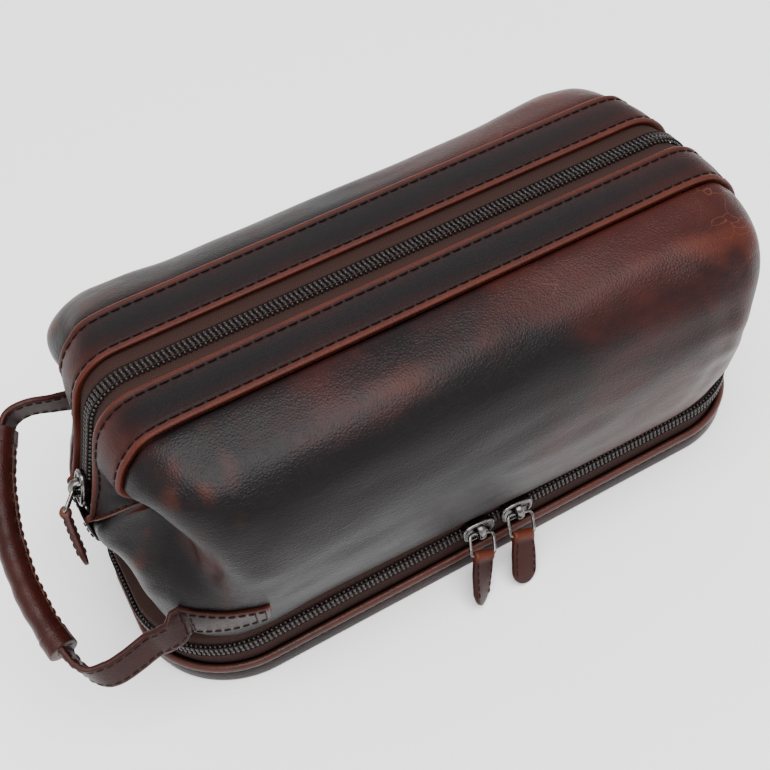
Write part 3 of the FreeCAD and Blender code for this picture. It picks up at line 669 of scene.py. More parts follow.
def on_path(travel, y, depth=0.0):
    """Points on the mouth at a distance travelled, a distance from the zip, and a depth below."""
    travel = np.asarray(travel, float)
    x, z = np.interp(travel, path_at, path_xz[:, 0]), np.interp(travel, path_at, path_xz[:, 1])
    dx = np.interp(travel + 0.5, path_at, path_xz[:, 0]) - np.interp(travel - 0.5, path_at, path_xz[:, 0])
    dz = np.interp(travel + 0.5, path_at, path_xz[:, 1]) - np.interp(travel - 0.5, path_at, path_xz[:, 1])
    length = np.hypot(dx, dz)
    nx, nz = -dz / length, dx / length
    y = np.broadcast_to(y, travel.shape)
    points = np.stack([x - nx * depth, y, z - nz * depth], -1)
    return points, np.stack([nx, np.zeros_like(nx), nz], -1)


# Height or place of the band's inner edge opposite each line of the hide, from the second line on.
INNER = [(-125.9, 71.2), (-124.3, 76), (-122.2, 82), (-120.2, 88), (-118.1, 94), (-116.3, 99.5),
         (-114.4, 105), (-108, 113.6), (-98, 119.5), (-70, 119.5), (-33, 119.5), (0, 119.5)]
INNER = np.array(INNER + [(-x, z) for x, z in INNER[-2::-1]])
nearest = np.argmin(np.linalg.norm(path_xz[None] - INNER[:, None], axis=2), axis=1)
inner_travel = smooth_rows(path_at[nearest][:, None], STEPS)[:, 0]
print("the mouth's path is", round(PATH_LENGTH, 1), "mm long")

# %% Make the bands and their thread
SECTION = np.concatenate([np.linspace(0, 0.24, 12), np.linspace(0.27, 0.73, 9), np.linspace(0.76, 1, 12)])
RIM, SEW = 1.25, 3.3


def band_surface(side, front):
    """Grid of the band, its outward directions, and each point's distance from the nearer edge."""
    sign = -1 if front else 1
    inner, _ = on_path(inner_travel, sign * BAND_IN)
    outer = hides[side][STEPS:-STEPS, -1]
    base = inner[:, None] * (1 - SECTION)[None, :, None] + outer[:, None] * SECTION[None, :, None]
    out = directions(base, not front)
    width = np.linalg.norm(outer - inner, axis=1)[:, None]
    from_inner, from_outer = width * SECTION, width * (1 - SECTION)
    near = np.minimum(from_inner, from_outer)
    height = 0.60 * bump_of(near, RIM, 1.0) - 0.30 * bump_of(near, SEW, 0.6)
    height = height + 0.8 * np.sin(np.pi * SECTION)[None] * np.clip(width / 20, 0, 1) - 0.05
    return base + out * height[..., None], out, near, from_inner, from_outer


for side, front in (("front", True), ("back", False)):
    surface, out, near, from_inner, from_outer = band_surface(side, front)
    edge_wear = np.clip(1 - (near - 1.9) / 1.0, 0, 1)
    bend = bump_of(np.abs(surface[..., 0]), 110, 9) * bump_of(surface[..., 2], 112, 9)
    red = 0.16 + 0.5 * edge_wear + 0.25 * bump_of(near, 4.5, 3) + 0.62 * bend
    red = red + 0.3 / (1 + np.exp(-(surface[..., 0] - 70) / 12))
    band = sheet_piece(side + "_mouth_band", surface, not front, 2.7, 1, wear=edge_wear * 0.62, red=red)
    dress(band, side + "_jaw", band_leather)
    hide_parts(side + "_band")
    for word, distance in (("inner", from_inner), ("outer", from_outer)):
        pick = np.argmin(np.abs(distance - SEW), axis=1)
        rows = np.arange(len(pick))
        keep = (near.max(axis=1) > SEW)
        line, normal = surface[rows, pick][keep], out[rows, pick][keep]
        row = stitches(f"{side}_band_{word}_thread", line, normal, length=2.9, gap=1.0,
                       radius=0.36, sink=-0.12)
        dress(row, side + "_jaw", thread)
    print(band.name, len(band.data.vertices), "points")

# %% [markdown]
# ## The top zip
# A coil zip closed: from each side one turn of the coil reaches just past the middle, between two
# turns from the other side. The coil is sewn to its tape, and the tape is sewn under the band.

# %% Make the top zip
PITCH = 1.75
COIL_DEPTH = 1.15


def ribbon_piece(name, rails, thickness, front, **values):
    """Strip between lines of points, thickened downward."""
    return sheet_piece(name, np.stack(rails, 1), front, thickness, **values)


for side, sign in (("front", -1), ("back", 1)):
    travel = np.arange(4.0 + (0 if sign < 0 else PITCH / 2), PATH_LENGTH - 4.0, PITCH)
    start, _ = on_path(travel, sign * 3.1, COIL_DEPTH + 0.55)
    end, up = on_path(travel + 0.45 * sign, -sign * 0.35, COIL_DEPTH)
    teeth = rods(side + "_top_teeth", start, end, 0.60, up * 0.55, sides=8)
    dress(teeth, side + "_jaw", zip_coil)
    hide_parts(side + "_top_coil")
    travel = np.arange(3.0, PATH_LENGTH - 3.0, 1.0)
    offsets = [0.2, 1.4, 2.8, 3.4, 5.0, 7.0, 9.0, 12.0]
    dips = [2.4, 2.4, 2.2, 2.0, 1.8, 1.7, 1.9, 2.3]
    rails = [on_path(travel, sign * o, d)[0] for o, d in zip(offsets, dips)]
    along = np.repeat(travel[:, None], len(offsets), 1)
    across = np.repeat(np.array(offsets)[None], len(travel), 0)
    tape = ribbon_piece(side + "_top_web", rails, 0.7, sign > 0, along=along, across=across)
    dress(tape, side + "_jaw", zip_tape)
    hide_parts(side + "_top_tape")
    line, up = on_path(travel, sign * 2.45, COIL_DEPTH - 0.62)
    cord = tube(side + "_coil_thread", line, up, 0.24, 0.24, sides=8)
    dress(cord, side + "_jaw", thread)
print("top zip made with", len(start), "turns on each side")

# %% [markdown]
# ## The zip-round bottom
# The lower zip follows the tray's outline round both ends and the front. One walk round the outline
# serves the tray, the zip, its tapes and its thread.

# %% Walk round the outline
def outline(spacing=1.0, half_x=TRAY_HALF_LENGTH, half_y=TRAY_HALF_WIDTH, radius=TRAY_CORNER):
    """Closed walk from the back's middle, by the left end, front and right end, with its outsides."""
    corners = [(-1, 1, 90), (-1, -1, 180), (1, -1, 270), (1, 1, 360)]
    points, outs = [(0, half_y)], [(0, 1)]
    for sx, sy, start in corners:
        for angle in np.radians(np.linspace(start, start + 90, 40)):
            c, s = math.cos(angle), math.sin(angle)
            points.append((sx * (half_x - radius) + radius * c, sy * (half_y - radius) + radius * s))
            outs.append((c, s))
    points.append((0, half_y))
    outs.append((0, 1))
    flat, out = np.array(points), np.array(outs)
    travelled = np.concatenate([[0], np.cumsum(np.linalg.norm(np.diff(flat, axis=0), axis=1))])
    count = int(travelled[-1] / spacing)
    at = np.linspace(0, travelled[-1], count, endpoint=False)
    even = [np.interp(at, travelled, flat[:, k]) for k in range(2)]
    even_out = unit(np.stack([np.interp(at, travelled, out[:, k]) for k in range(2)], 1))
    return np.stack(even, 1), even_out


def level_line(flat, out, inset, height):
    plan = flat - out * np.asarray(inset).reshape(-1, 1)
    return np.column_stack([plan, np.broadcast_to(height, len(plan))])


plan, plan_out = outline(1.0)
out3 = np.column_stack([plan_out, np.zeros(len(plan_out))])
print("the outline is", len(plan), "mm round")

# %% Make the tray
PROFILE = [(2.2, 0.0), (1.0, 0.1), (0.25, 0.7), (0.0, 1.8), (0.05, 4.0), (0.25, 5.6), (0.55, 6.1),
           (0.45, 6.5), (-0.15, 7.0), (-0.6, 8.0), (-0.65, 9.2), (-0.2, 10.2), (0.6, 10.6), (1.5, 10.3),
           (2.0, 9.4), (2.0, 5.0), (2.0, 1.6)]
SHINE = [0.2, 0.5, 0.4, 0.1, 0.0, 0.0, 0.1, 0.2, 0.5, 0.6, 0.75, 0.8, 0.7, 0.4, 0.2, 0, 0]


def sole_grid(rings):
    """Faces between rings, and one flat face over the first and last ring."""
    count = len(rings[0])
    faces = grid_faces(len(rings), count, close_columns=True)
    last = (len(rings) - 1) * count
    faces.append(tuple(range(count)))
    faces.append(tuple(last + k for k in reversed(range(count))))
    return faces


rings = [level_line(plan, plan_out, inset, height) for inset, height in PROFILE]
tray_piece = face_outward(new_piece("tray_wall", np.concatenate(rings), sole_grid(rings)))
wear = np.repeat(np.array(SHINE)[:, None], len(plan), 1)
store(tray_piece, wear=wear.ravel() * 0.75, red=(0.30 + 0.35 * wear).ravel())
dress(tray_piece, "tray", tray_leather)
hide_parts("tray_shell", "tray_rim")
sewn = stitches("tray_thread", np.concatenate([level_line(plan, plan_out, 0.45, 6.35)] * 1), out3,
                length=2.8, gap=1.0, radius=0.32, sink=-0.05)
dress(sewn, "tray", thread)
print("tray made,", len(tray_piece.data.vertices), "points")

# %% Make the lower zip
zip_walk = plan[:, 1] < ZIP_BACK_END
zip_plan, zip_out = plan[zip_walk], plan_out[zip_walk]
zip_out3 = np.column_stack([zip_out, np.zeros(len(zip_out))])
fine_plan, fine_out = outline(PITCH)
fine_keep = fine_plan[:, 1] < ZIP_BACK_END
fine_plan, fine_out = fine_plan[fine_keep], fine_out[fine_keep]
side_step = np.column_stack([-fine_out[:, 1], fine_out[:, 0], np.zeros(len(fine_out))])
fine_out3 = np.column_stack([fine_out, np.zeros(len(fine_out))])
for word, sign, body, node in (("lower", -1, "tray", "lower_coil_tray"),
                               ("upper", 1, "bag", "lower_coil_bag")):
    shift = side_step * (0 if sign < 0 else PITCH / 2)
    start = level_line(fine_plan, fine_out, 1.7, ZIP_LEVEL + sign * 3.0) + shift
    end = level_line(fine_plan, fine_out, 1.15, ZIP_LEVEL - sign * 0.3) + shift + side_step * 0.45 * sign
    teeth = rods(word + "_zip_teeth", start, end, 0.6, fine_out3 * 0.5, sides=8)
    dress(teeth, body, zip_coil)
    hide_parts(node)
    thread_line = level_line(zip_plan, zip_out, 0.62, ZIP_LEVEL + sign * 2.35)
    cord = tube(word + "_zip_thread", thread_line, zip_out3,
                0.24, 0.24, sides=8)
    dress(cord, body, thread)
print("lower zip made with", len(fine_plan), "turns on each side")

# %% Make the lower zip's tapes
hems = np.concatenate([hides["back"][STEPS * 6::-1, 0], hides["front"][1:, 0],
                       hides["back"][::-1, 0][1:STEPS * 6]])


def hem_beside(flat):
    """Nearest point of the hide's hem to each place on the outline."""
    gap = np.linalg.norm(flat[:, None] - hems[None, :, :2], axis=2)
    return hems[np.argmin(gap, axis=1)]


beside = hem_beside(zip_plan - zip_out * 5)
soft = np.array([np.convolve(np.pad(beside[:, k], 6, "edge"), np.ones(13) / 13, "valid")
                 for k in range(3)]).T
inside = np.column_stack([zip_out, np.zeros(len(zip_out))])
upper_rails = [level_line(zip_plan, zip_out, 2.6, ZIP_LEVEL + 0.4),
               level_line(zip_plan, zip_out, 2.3, ZIP_LEVEL + 3.2),
               level_line(zip_plan, zip_out, 2.4, ZIP_LEVEL + 4.6),
               level_line(zip_plan, zip_out, 2.9, ZIP_LEVEL + 6.0),
               soft - inside * 2.0 + [0, 0, 0.8], soft - inside * 2.4 + [0, 0, 4.0]]
lower_rails = [level_line(zip_plan, zip_out, i, z) for i, z in
               ((2.6, 8.5), (2.4, 10.5), (2.2, 13.5), (2.2, 17.0), (2.5, ZIP_LEVEL - 0.4))]
for word, rails, body, node in (("lower", lower_rails, "tray", "lower_tape_tray"),
                                ("upper", upper_rails, "bag", "lower_tape_bag")):
    along = np.repeat(np.arange(len(zip_plan))[:, None], len(rails), 1)
    across = np.repeat(np.arange(len(rails))[None] * 2.6, len(zip_plan), 0)
    tape = ribbon_piece(word + "_zip_web", rails, 0.6, True, along=along, across=across)
    dress(tape, body, zip_tape)
    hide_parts(node)
print("tapes made")

# %% [markdown]
# ## Strips at the ends, sliders and pulls
# A short leather strip covers the place below each end of the top zip where front and back meet.
# Each slider is a cast plate with turned-down sides and an arched bridge; a wire bail hangs in the
# bridge and carries a leather pull, folded over the wire and stitched down both sides.

# %% Make the end strips
for side, sign, node in (("left", -1, "left_end_strip"), ("right", 1, "right_end_strip")):
    levels = np.linspace(27.5, 70.5, 24)
    middle = hides["front"][0 if sign < 0 else -1]
    x_at = np.interp(levels, middle[:, 2], middle[:, 0])
    rails = []
    for y in np.linspace(-7.5, 7.5, 13):
        edge_dip = 0.7 * (abs(y) / 7.5) ** 6
        foot_out = np.full_like(levels, 1.5 - edge_dip)
        rails.append(np.column_stack([x_at + sign * foot_out, np.full_like(levels, y), levels]))
    strip = sheet_piece(side + "_end_cover", np.stack(rails, 0), sign > 0, 1.0, 1, wear=0.12, red=0.35)
    dress(strip, "bag", band_leather)
    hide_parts(node)
    for y in (-5.7, 5.7):
        line = np.column_stack([x_at + sign * 1.55, np.full_like(levels, y), levels])
        row = stitches(f"{side}_end_thread_{'front' if y < 0 else 'back'}", line,
                       np.tile([sign, 0.0, 0.0], (len(levels), 1)), radius=0.28)
        dress(row, "bag", thread)
print("end covers made")

# %% Shape of a slider, in its own directions
def shield(half_length, half_width, count=44):
    """Outline of a slider's plate: round at the wide end, narrower at the tail."""
    angle = np.linspace(0, 2 * math.pi, count, endpoint=False)
    x, y = np.cos(angle), np.sin(angle)
    x, y = np.sign(x) * np.abs(x) ** 0.75, np.sign(y) * np.abs(y) ** 0.62
    return np.stack([x * half_length, y * half_width * (1 - 0.14 * np.clip(x, -1, 1))], 1)


def placed(points, where):
    points = np.asarray(points, float)
    return points @ np.array(where.to_3x3()).T + np.array(where.translation)


def slider_piece(name, where, across):
    levels = [(0.0, -1.35), (0.0, 0.4), (-0.15, 1.1), (0.35, 1.55), (0.95, 1.62), (1.4, 1.25), (2.6, 1.2)]
    rings = []
    for inset, height in levels:
        rim = shield(6.5 - inset, 4.25 - inset)
        rings.append(np.column_stack([rim, np.full(len(rim), height)]))
    plate = new_piece(name, placed(np.concatenate(rings), where), sole_grid(rings))
    face_outward(plate)
    arch = np.radians(np.linspace(-8, 188, 21))
    span = 3.1
    flat = np.stack([span * np.cos(arch), 0 * arch, 1.4 + 2.75 * np.clip(np.sin(arch), -0.12, 1)], 1)
    side = np.tile([0.0, 1.0, 0.0], (len(flat), 1))
    if across:
        flat, side = flat[:, [1, 0, 2]], side[:, [1, 0, 2]]
    bridge = tube(name + "_bridge", placed(flat, where), side @ np.array(where.to_3x3()).T, 0.55, 1.45, 12)
    return plate, bridge


print("slider casting ready")

# %% [markdown]
# The bail is one bent wire. The pull is leather folded over it, stitched, and cut to a tongue.

# %% Shape of a bail and of a pull
def bail_piece(name, where, half=5.7, drop=8.0, radius=1.6):
    corners = [(half, 0), (half, -drop), (-half, -drop), (-half, 0)]
    line = []
    for index, (x, z) in enumerate(corners):
        cx, cz = x - math.copysign(radius, x), z + (radius if z < -1 else -radius)
        start = {0: 90, 1: 0, 2: -90, 3: -180}[index]
        for angle in np.radians(np.linspace(start, start - 90, 8)):
            line.append((cx + radius * math.cos(angle), 0, cz + radius * math.sin(angle)))
    line = np.array(line)
    closed = np.concatenate([line, line[:1]])
    even, _ = even_line(closed, 0.8)
    facing = np.tile(np.array(where.to_3x3()) @ [0, 1, 0], (len(even) - 1, 1))
    return tube(name, placed(even[:-1], where), facing, 0.6, 0.6, 12, closed=True)


def pull_piece(name, where, length=20.0, bow=0.0, twist=0.0):
    """Stitched leather pull; bow bends it outward at the tip, twist turns the tip (degrees)."""
    top, tip = 2.0, 1.6 - length
    heights = np.concatenate([top - np.array([0, 0.25, 0.7, 1.3, 2.0, 3.0, 4.2]),
                              np.linspace(-3.2, tip + 5, 12),
                              tip + 5.2 * (1 - np.sin(np.radians(np.linspace(6, 90, 12))))])
    rings = []
    angle = np.linspace(0, 2 * math.pi, 32, endpoint=False)
    for z in heights:
        half = np.interp(z, [tip, -7, 1.6], [5.3, 5.3, 4.4])
        round_tip = np.clip((z - tip) / 5.2, 0, 1)
        half = half * math.sqrt(max(1 - (1 - round_tip) ** 2, 0.004))
        fold = np.clip((top - z) / 2.2, 0, 1)
        swell = 1.25 + 0.75 * math.exp(-((z + 0.1) / 2.0) ** 2)
        thick = swell * math.sqrt(max(1 - (1 - fold) ** 2, 0.004))
        if z < -2:
            thick = 1.25 * min(1.0, 0.35 + 0.65 * round_tip ** 0.5)
        x = half * np.sign(np.cos(angle)) * np.abs(np.cos(angle)) ** 0.35
        y = thick * np.sign(np.sin(angle)) * np.abs(np.sin(angle)) ** 0.55
        down = (top - z) / length
        spin = math.radians(twist * down)
        ring = np.stack([x * math.cos(spin) - y * math.sin(spin),
                         x * math.sin(spin) + y * math.cos(spin) - bow * down ** 2, np.full_like(x, z)], 1)
        rings.append(ring)
    tab = face_outward(new_piece(name, placed(np.concatenate(rings), where), sole_grid(rings)))
    top_wear = np.array([max(math.exp(-((z - 0.6) / 2.4) ** 2), 0.0) for z in heights])
    store(tab, wear=np.repeat(top_wear[:, None] * 0.9, 32, 1).ravel() + 0.12, red=0.62)
    rows = []
    for side in (-1, 1):
        for face in (-1, 1):
            line, out = [], []
            for z in np.linspace(-2.6, tip + 3.0, 24):
                half = np.interp(z, [tip, -7, 1.6], [5.3, 5.3, 4.4]) - 1.25
                half -= 1.5 * max(0, (tip + 5 - z) / 5) ** 2
                down = (top - z) / length
                spin = math.radians(twist * down)
                c, s = math.cos(spin), math.sin(spin)
                x, y = side * half, face * 1.22
                line.append((x * c - y * s, x * s + y * c - bow * down ** 2, z))
                out.append((-face * s, face * c, 0))
            rows.append((placed(line, where), np.array(out) @ np.array(where.to_3x3()).T))
    starts = [stitches(f"{name}_thread_{k}", line, out, length=2.0, gap=0.8, radius=0.2, sink=0.1)
              for k, (line, out) in enumerate(rows)]
    return tab, starts


print("bail and pull ready")

# %% [markdown]
# A bail leans out of its bridge and the pull leans on the bail.

# %% Hang a slider
def turn(axis, degrees):
    return Matrix.Rotation(math.radians(degrees), 4, axis)


def hang(word, origin, stand, across, turned, bail_lean, tab_lean, bow, twist):
    """One slider with its bail and pull, each on its own body."""
    where = Matrix.Translation(origin) @ stand
    plate, bridge = slider_piece(word + "_casting", where, across)
    bridge.parent = plate
    dress(plate, word, gunmetal)
    bridge.data.materials.append(gunmetal)
    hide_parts(word)
    hinge = where @ Vector((0, 0, BRIDGE_HEIGHT))
    swung = Matrix.Translation(hinge) @ turned @ turn("X", -bail_lean)
    loop = bail_piece(word + "_wire", swung)
    dress(loop, word + "_bail", gunmetal)
    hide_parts(word + "_bail")
    low = swung @ Vector((0, 0, -8.0))
    hung = Matrix.Translation(low) @ turned @ turn("X", -tab_lean)
    tab, rows = pull_piece(word + "_tab", hung, bow=bow, twist=twist)
    dress(tab, word + "_pull", strap_leather)
    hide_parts(word + "_pull")
    for row in rows:
        dress(row, word + "_pull", thread)
    return [round(v, 1) for v in hinge]


BRIDGE_HEIGHT = 2.65
print("slider shapes ready")

# %% Make the three sliders
face_y = -(TRAY_HALF_WIDTH - 0.6)
middle_of = {word: (edge(word, 0, 0) + edge(word, 0, 1)) / 2 for word in ("left_slider", "right_slider")}
for word, swing, tab_lean, bow, twist in (("left_slider", 30, 30, 1.0, 30),
                                          ("right_slider", 24, 37, -1.0, 0)):
    at = hang(word, Vector((middle_of[word], face_y, ZIP_LEVEL)), turn("X", 90), True, turn("Y", swing), 45,
              tab_lean, bow, twist)
    print(word, "bail hangs at", at)
top_level = (edge("top_slider", 2, 0) + edge("top_slider", 2, 1)) / 2 - 0.4
lean_degrees = math.degrees(JAW_LEAN)
top_origin = Vector((-JAW_FOOT_X + (top_level - JAW_FOOT_Z) * math.tan(JAW_LEAN), 0, top_level))
at = hang("top_slider", top_origin, turn("Y", lean_degrees) @ turn("Y", -90), False,
          turn("X", -50) @ turn("Z", -90), 45, 6, -1.0, 0)
print("top slider bail hangs at", at)

# %% [markdown]
# ## The handle
# A flat strap is sewn square-ended to the front, runs round the end of the bag, is rolled round a
# cord for the grip, and comes back to be sewn on the back. It is drawn in the handle's own plane.

# %% The handle's own directions
along_handle = unit(np.array([0, 86.0, 31.0]))
tilt = Matrix.Rotation(math.radians(-8.0), 3, Vector(along_handle))
out_handle = np.array(tilt @ Vector((-1, 0, 0)))
up_handle = np.cross(along_handle, out_handle)
handle_origin = np.array([-114.0, 0.0, 60.0])


def in_handle(points):
    points = np.asarray(points, float)
    return handle_origin + points[:, :1] * along_handle + points[:, 1:2] * out_handle


GRIP_CENTRE, GRIP_BEND = np.array([-7.6, -70.5]), 110.0
arc_angle = np.radians(np.linspace(103.66, 60.46, 60))
grip_line = np.stack([GRIP_CENTRE[0] + GRIP_BEND * np.cos(arc_angle),
                      GRIP_CENTRE[1] + GRIP_BEND * np.sin(arc_angle), 0 * arc_angle], 1)
grip_start, grip_stop = (np.round(in_handle(end)[0], 1) for end in (grip_line[:1], grip_line[-1:]))
print("grip runs from", grip_start, "to", grip_stop)


def strap_piece(name, line, wide, half_wide=5.9, half_thick=1.15, sides=28):
    """Flat strap along a line; wide gives the direction of its width at each point."""
    line, along = even_line(line, 1.2)
    wide = np.array([np.interp(np.linspace(0, 1, len(line)), np.linspace(0, 1, len(wide)), wide[:, k])
                     for k in range(3)]).T
    flat = unit(np.cross(along, wide))
    wide = unit(np.cross(flat, along))
    angle = np.linspace(0, 2 * math.pi, sides, endpoint=False)
    c = np.sign(np.cos(angle)) * np.abs(np.cos(angle)) ** 0.3
    s = np.sign(np.sin(angle)) * np.abs(np.sin(angle)) ** 0.6
    crown = 1 + 0.15 * np.cos(angle * 1) ** 2
    half_wide = np.broadcast_to(half_wide, len(line))[:, None, None]
    half_thick = np.broadcast_to(half_thick, len(line))[:, None, None]
    rings = (line[:, None] + wide[:, None] * c[None, :, None] * half_wide
             + flat[:, None] * (s * crown)[None, :, None] * half_thick)
    strap = face_outward(new_piece(name, rings.reshape(-1, 3), sole_grid(list(rings))))
    edge_wear = np.abs(c) ** 6 * 0.35 + 0.08
    store(strap, wear=np.tile(edge_wear, len(line)), red=0.55)
    rows = []
    for side in (-1, 1):
        for face in (-1, 1):
            sew = line + wide * side * (half_wide[:, 0] - 1.7) + flat * face * (half_thick[:, 0] + 0.02)
            row_name = f"{name}_thread_{side + face * 2 + 3}"
            rows.append(stitches(row_name, sew, flat * face, 2.4, 0.9, 0.24, 0.12))
    return strap, rows


# %% Find places on the hide for the sewn strap ends
def tree_of(surface):
    rows, columns = surface.shape[:2]
    return BVHTree.FromPolygons([tuple(p) for p in surface.reshape(-1, 3)], grid_faces(rows, columns))


trees = {side: tree_of(surface) for side, surface in hides.items()}


def on_hide(side, x, z):
    """Point on a hide straight in from outside, and the outward direction there."""
    sign = -1 if side == "front" else 1
    point, normal, _, _ = trees[side].ray_cast(Vector((x, sign * 95, z)), Vector((0, -sign, 0)))
    normal = np.array(normal)
    return np.array(point), normal * (1 if normal[1] * sign > 0 else -1)


def patch_piece(name, side, x_from, x_to, z_from, z_to, half=6.0):
    """Square strap end sewn flat on the hide."""
    xs = np.linspace(x_from, x_to, 27)
    vs = np.array([-1, -0.97, -0.88, -0.7, -0.35, 0, 0.35, 0.7, 0.88, 0.97, 1])
    grid, outs = [], []
    for x in xs:
        z = np.interp(x, [x_from, x_to], [z_from, z_to])
        end = 1 - 0.8 * math.exp(-((x - x_to) / 0.8) ** 2)
        row, out_row = [], []
        for v in vs:
            point, out = on_hide(side, x, z + v * half)
            row.append(point)
            out_row.append(out)
        grid.append(row)
        outs.append(out_row)
    grid, outs = np.array(grid), np.array(outs)
    for _ in range(6):
        outs[1:-1] = unit(outs[1:-1] * 2 + outs[2:] + outs[:-2])
        grid[1:-1] = grid[1:-1] * 0.5 + (grid[2:] + grid[:-2]) * 0.25
    rise = 1.75 - 0.5 * np.abs(vs)[None] ** 8 - 0.5 * np.exp(-((xs - x_to) / 0.7) ** 2)[:, None]
    top = grid + outs * rise[..., None]
    wear = 0.12 + 0.4 * np.abs(vs)[None] ** 10 + 0.35 * np.exp(-((xs - x_to) / 1.2) ** 2)[:, None]
    patch = sheet_piece(name, top, side == "front", 1.7, 1, wear=wear, red=0.35)
    spots = {"low": (slice(1, -1), 3), "high": (slice(1, -1), 7)}
    rows = []
    for word, (along, column) in spots.items():
        line = top[along, column] + (top[along, column] - top[along, 5]) * 0.10
        rows.append(stitches(f"{name}_thread_{word}", line, outs[along, column], 2.2, 0.9, 0.28))
    for word, place in (("end", -3), ("second", -6), ("root", 3)):
        rows.append(stitches(f"{name}_thread_{word}", top[place, 3:8], outs[place, 3:8], 2.0, 0.8, 0.28))
    return patch, rows, (top[0, 5], outs[0, 5], top[2, 5])


front_patch, patch_rows, front_root = patch_piece("front_sewn_end", "front", -112.5, -86.5, 48.2, 49.2)
back_patch, back_rows, back_root = patch_piece("back_sewn_end", "back", -104.0, -80.0, 66.5, 66.0)
for patch, rows, node in ((front_patch, patch_rows, "handle_front_patch"),
                          (back_patch, back_rows, "handle_back_patch")):
    dress(patch, "bag", strap_leather)
    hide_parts(node)
    for row in rows:
        dress(row, "bag", thread)
print("sewn ends at", np.round(front_root[0], 1), "and", np.round(back_root[0], 1))

# %% Make the straps
front_plane = in_handle([(-45.8, 11), (-47.2, 19), (-47.6, 26), (-45.2, 31.6), (-40, 34.8), (-33.4, 36.5),
                         (-28, 37.6)])
front_start = [front_root[2] - front_root[1] * 0.9, front_root[0] - front_root[1] * 0.75,
               (-116.5, -44.4, 46.4), (-121, -43.9, 44.6)]
front_line = smooth_rows(np.concatenate([front_start, front_plane]), 8)
back_plane = in_handle([(41, 28), (46.4, 25.3), (50.0, 21.5), (50.2, 15.0)])
back_end = [(-120, 47.8, 72.0), (-111, 48.3, 69.2), back_root[0] - back_root[1] * 0.75,
            back_root[2] - back_root[1] * 0.9]
back_line = smooth_rows(np.concatenate([back_plane, back_end]), 8)
laid_back = unit(up_handle + np.array([0, 0.55, 0]))
front_wide = np.array([(0.0, 0.30, 0.95), laid_back, laid_back, laid_back, up_handle, up_handle])
back_wide = np.array([up_handle, up_handle, (0, 0.0, 1.0)])
WIDE = {"front": front_wide, "back": back_wide}
for word, line, root, reach in (("front", front_line, -115.0, -125.0), ("back", back_line, -113.0, -124.0)):
    strap, rows = strap_piece(word + "_strap", line, WIDE[word])
    for piece in [strap] + rows:
        dress(piece, None, strap_leather if piece is strap else thread)
        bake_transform(piece)
    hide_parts(f"handle_{word}_strap")
    print(strap.name, len(strap.data.vertices), "points")

# %% [markdown]
# The grip is the same strap rolled round a cord and closed along the inside with stout thread. Its
# ends are wrapped and tucked.

# %% Make the grip
seam_thread = plain_finish("seam_thread", (0.045, 0.013, 0.007), (0.085, 0.026, 0.013), 0.6, 300.0,
                           Specular_IOR_Level=0.15)


def grip_rings(name, share_from, share_to, swell, ends, sides=40):
    """Rolled leather along the grip, between two shares of its length."""
    count = 70
    t = np.linspace(share_from, share_to, count)
    line = np.array([np.interp(t, np.linspace(0, 1, len(grip_line)), grip_line[:, k]) for k in range(3)]).T
    centre = in_handle(line)
    along = unit(np.gradient(centre, axis=0))
    out = unit(np.cross(up_handle[None], along))
    out = out * np.sign(np.sum(out * out_handle, axis=1))[:, None]
    angle = np.linspace(0, 2 * math.pi, sides, endpoint=False)
    from_end = np.minimum(t - share_from, share_to - t) / (share_to - share_from)
    close_in = 1 - ends * np.exp(-(from_end / 0.035) ** 2)
    soft = 1 + 0.025 * np.sin(t * 31) + 0.018 * np.sin(t * 67 + 1)
    tall = (6.0 + swell) * (1 - 0.10 * np.exp(-(from_end / 0.03) ** 2)) * soft
    deep = (5.1 + swell) * close_in * soft
    c, s = np.cos(angle), np.sin(angle)
    inner = np.where(c < 0, 0.78 - 0.06 * np.exp(-((np.abs(s)) / 0.16) ** 2), 1.0)
    rings = (centre[:, None] + out[:, None] * (c * inner)[None, :, None] * deep[:, None, None]
             + up_handle[None, None] * s[None, :, None] * tall[:, None, None])
    piece = face_outward(new_piece(name, rings.reshape(-1, 3), sole_grid(list(rings))))
    rub = 0.18 + 0.35 * np.clip(c, 0, 1)[None] ** 3 * (0.6 + 0.4 * np.sin(t * 9)[:, None])
    store(piece, wear=rub.ravel(), red=0.68)
    seam = centre - out * (deep * 0.74)[:, None]
    return piece, seam, -out


grip, seam, inward = grip_rings("rolled_grip", 0.0, 1.0, 0.0, 0.62)
dress(grip, "handle", strap_leather)
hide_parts("handle_grip")
for word, shift in (("upper", 1.5), ("lower", -1.5)):
    row = stitches("grip_seam_" + word, seam + up_handle * shift, inward, 2.2, 1.0, 0.28, 0.05)
    dress(row, "handle", seam_thread)
for word, low, high in (("front", -0.015, 0.085), ("back", 0.925, 1.01)):
    wrap, _, _ = grip_rings(word + "_grip_wrap", max(low, 0.0), min(high, 1.0), 0.45, 0.55)
    dress(wrap, "handle", strap_leather)
print("grip made,", len(grip.data.vertices), "points")

# %% [markdown]
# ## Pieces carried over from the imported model
# The boards, frames, hinge and pins have the right shape already and take a better finish. The
# floor board wears lining cloth and the frames are darkened, since both can be glimpsed at the ends.

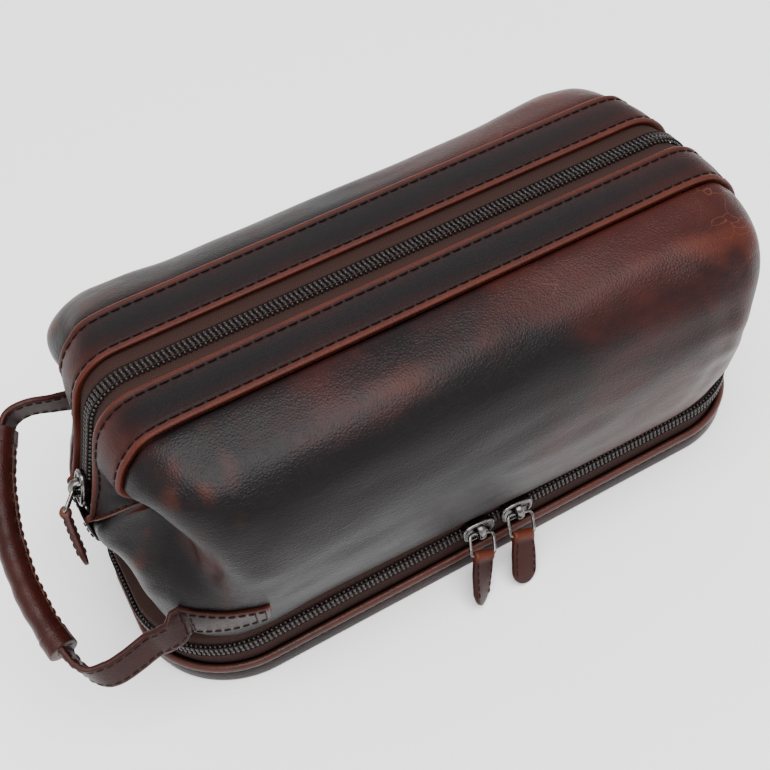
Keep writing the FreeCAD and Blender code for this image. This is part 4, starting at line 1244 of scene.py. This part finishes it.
# %% Finish the carried-over pieces
CARRIED = {
    "tray_board": stiff_board, "floor_board": lining_cloth, "tray_lining": lining_cloth,
    "floor_lining": lining_cloth, "back_hinge_tray": tray_leather, "back_hinge_bag": tray_leather,
    "left_gusset": lining_cloth, "right_gusset": lining_cloth, "front_frame": frame_steel,
    "back_frame": frame_steel, "left_pivot_pin": gunmetal, "right_pivot_pin": gunmetal,
    "left_pivot_bracket": frame_steel, "right_pivot_bracket": frame_steel, "handle_core": strap_leather,
}
for node, finish in CARRIED.items():
    piece = bpy.data.objects[node]
    if not piece.material_slots:
        piece.data.materials.append(None)
    for slot in piece.material_slots:
        slot.material = finish
print(len(CARRIED), "carried-over pieces finished")

# %% [markdown]
# ## The studio
# The bag lies on a plain pale table under big soft lights, and the camera looks down on its front
# left corner with a normal lens.

# %% Floor, light and camera
REACH, TABLE_DROP = 4000, -0.05
table_corners = [(x * REACH, y * REACH, TABLE_DROP) for x, y in ((-1, -1), (1, -1), (1, 1), (-1, 1))]
table = new_piece("table", table_corners, [(0, 1, 2, 3)])
table.data.materials.append(plain_finish("pale_table", (0.96, 0.96, 0.96), (0.97, 0.97, 0.97), 0.9, 3.0))

world = bpy.data.worlds.new("studio")
bpy.context.scene.world = world
world.use_nodes = True
world.node_tree.nodes["Background"].inputs["Color"].default_value = (1, 1, 1, 1)
world.node_tree.nodes["Background"].inputs["Strength"].default_value = 0.95


def softbox(name, place, target, size, power):
    light = bpy.data.lights.new(name, "AREA")
    light.shape, light.size, light.size_y, light.energy = "RECTANGLE", size[0], size[1], power
    lamp = bpy.data.objects.new(name, light)
    lamp.location = place
    lamp.rotation_euler = (Vector(target) - Vector(place)).to_track_quat("-Z", "Y").to_euler()
    bpy.context.scene.collection.objects.link(lamp)
    return lamp


softbox("overhead", (-0.1, -0.75, 1.9), (0, 0, 0), (2.2, 1.7), 94)
softbox("left_window", (-1.3, -0.2, 0.7), (0, 0, 0.06), (0.5, 1.0), 2)
softbox("back_window", (0.3, 1.5, 0.9), (0, 0, 0.08), (1.6, 0.5), 5)

camera_data = bpy.data.cameras.new("camera")
camera_data.sensor_width, camera_data.lens = 36, 52.13
camera_data.clip_start = 0.01
camera = bpy.data.objects.new("camera", camera_data)
right, up, back = (0.87358, -0.47617, -0.10064), (0.41805, 0.62828, 0.65612), (-0.24920, -0.61524, 0.74791)
camera.matrix_world = Matrix.Translation((-0.11380, -0.24753, 0.36039)) @ Matrix(
    (right, up, back)).transposed().to_4x4()
bpy.context.scene.collection.objects.link(camera)
bpy.context.scene.camera = camera
print("studio ready")
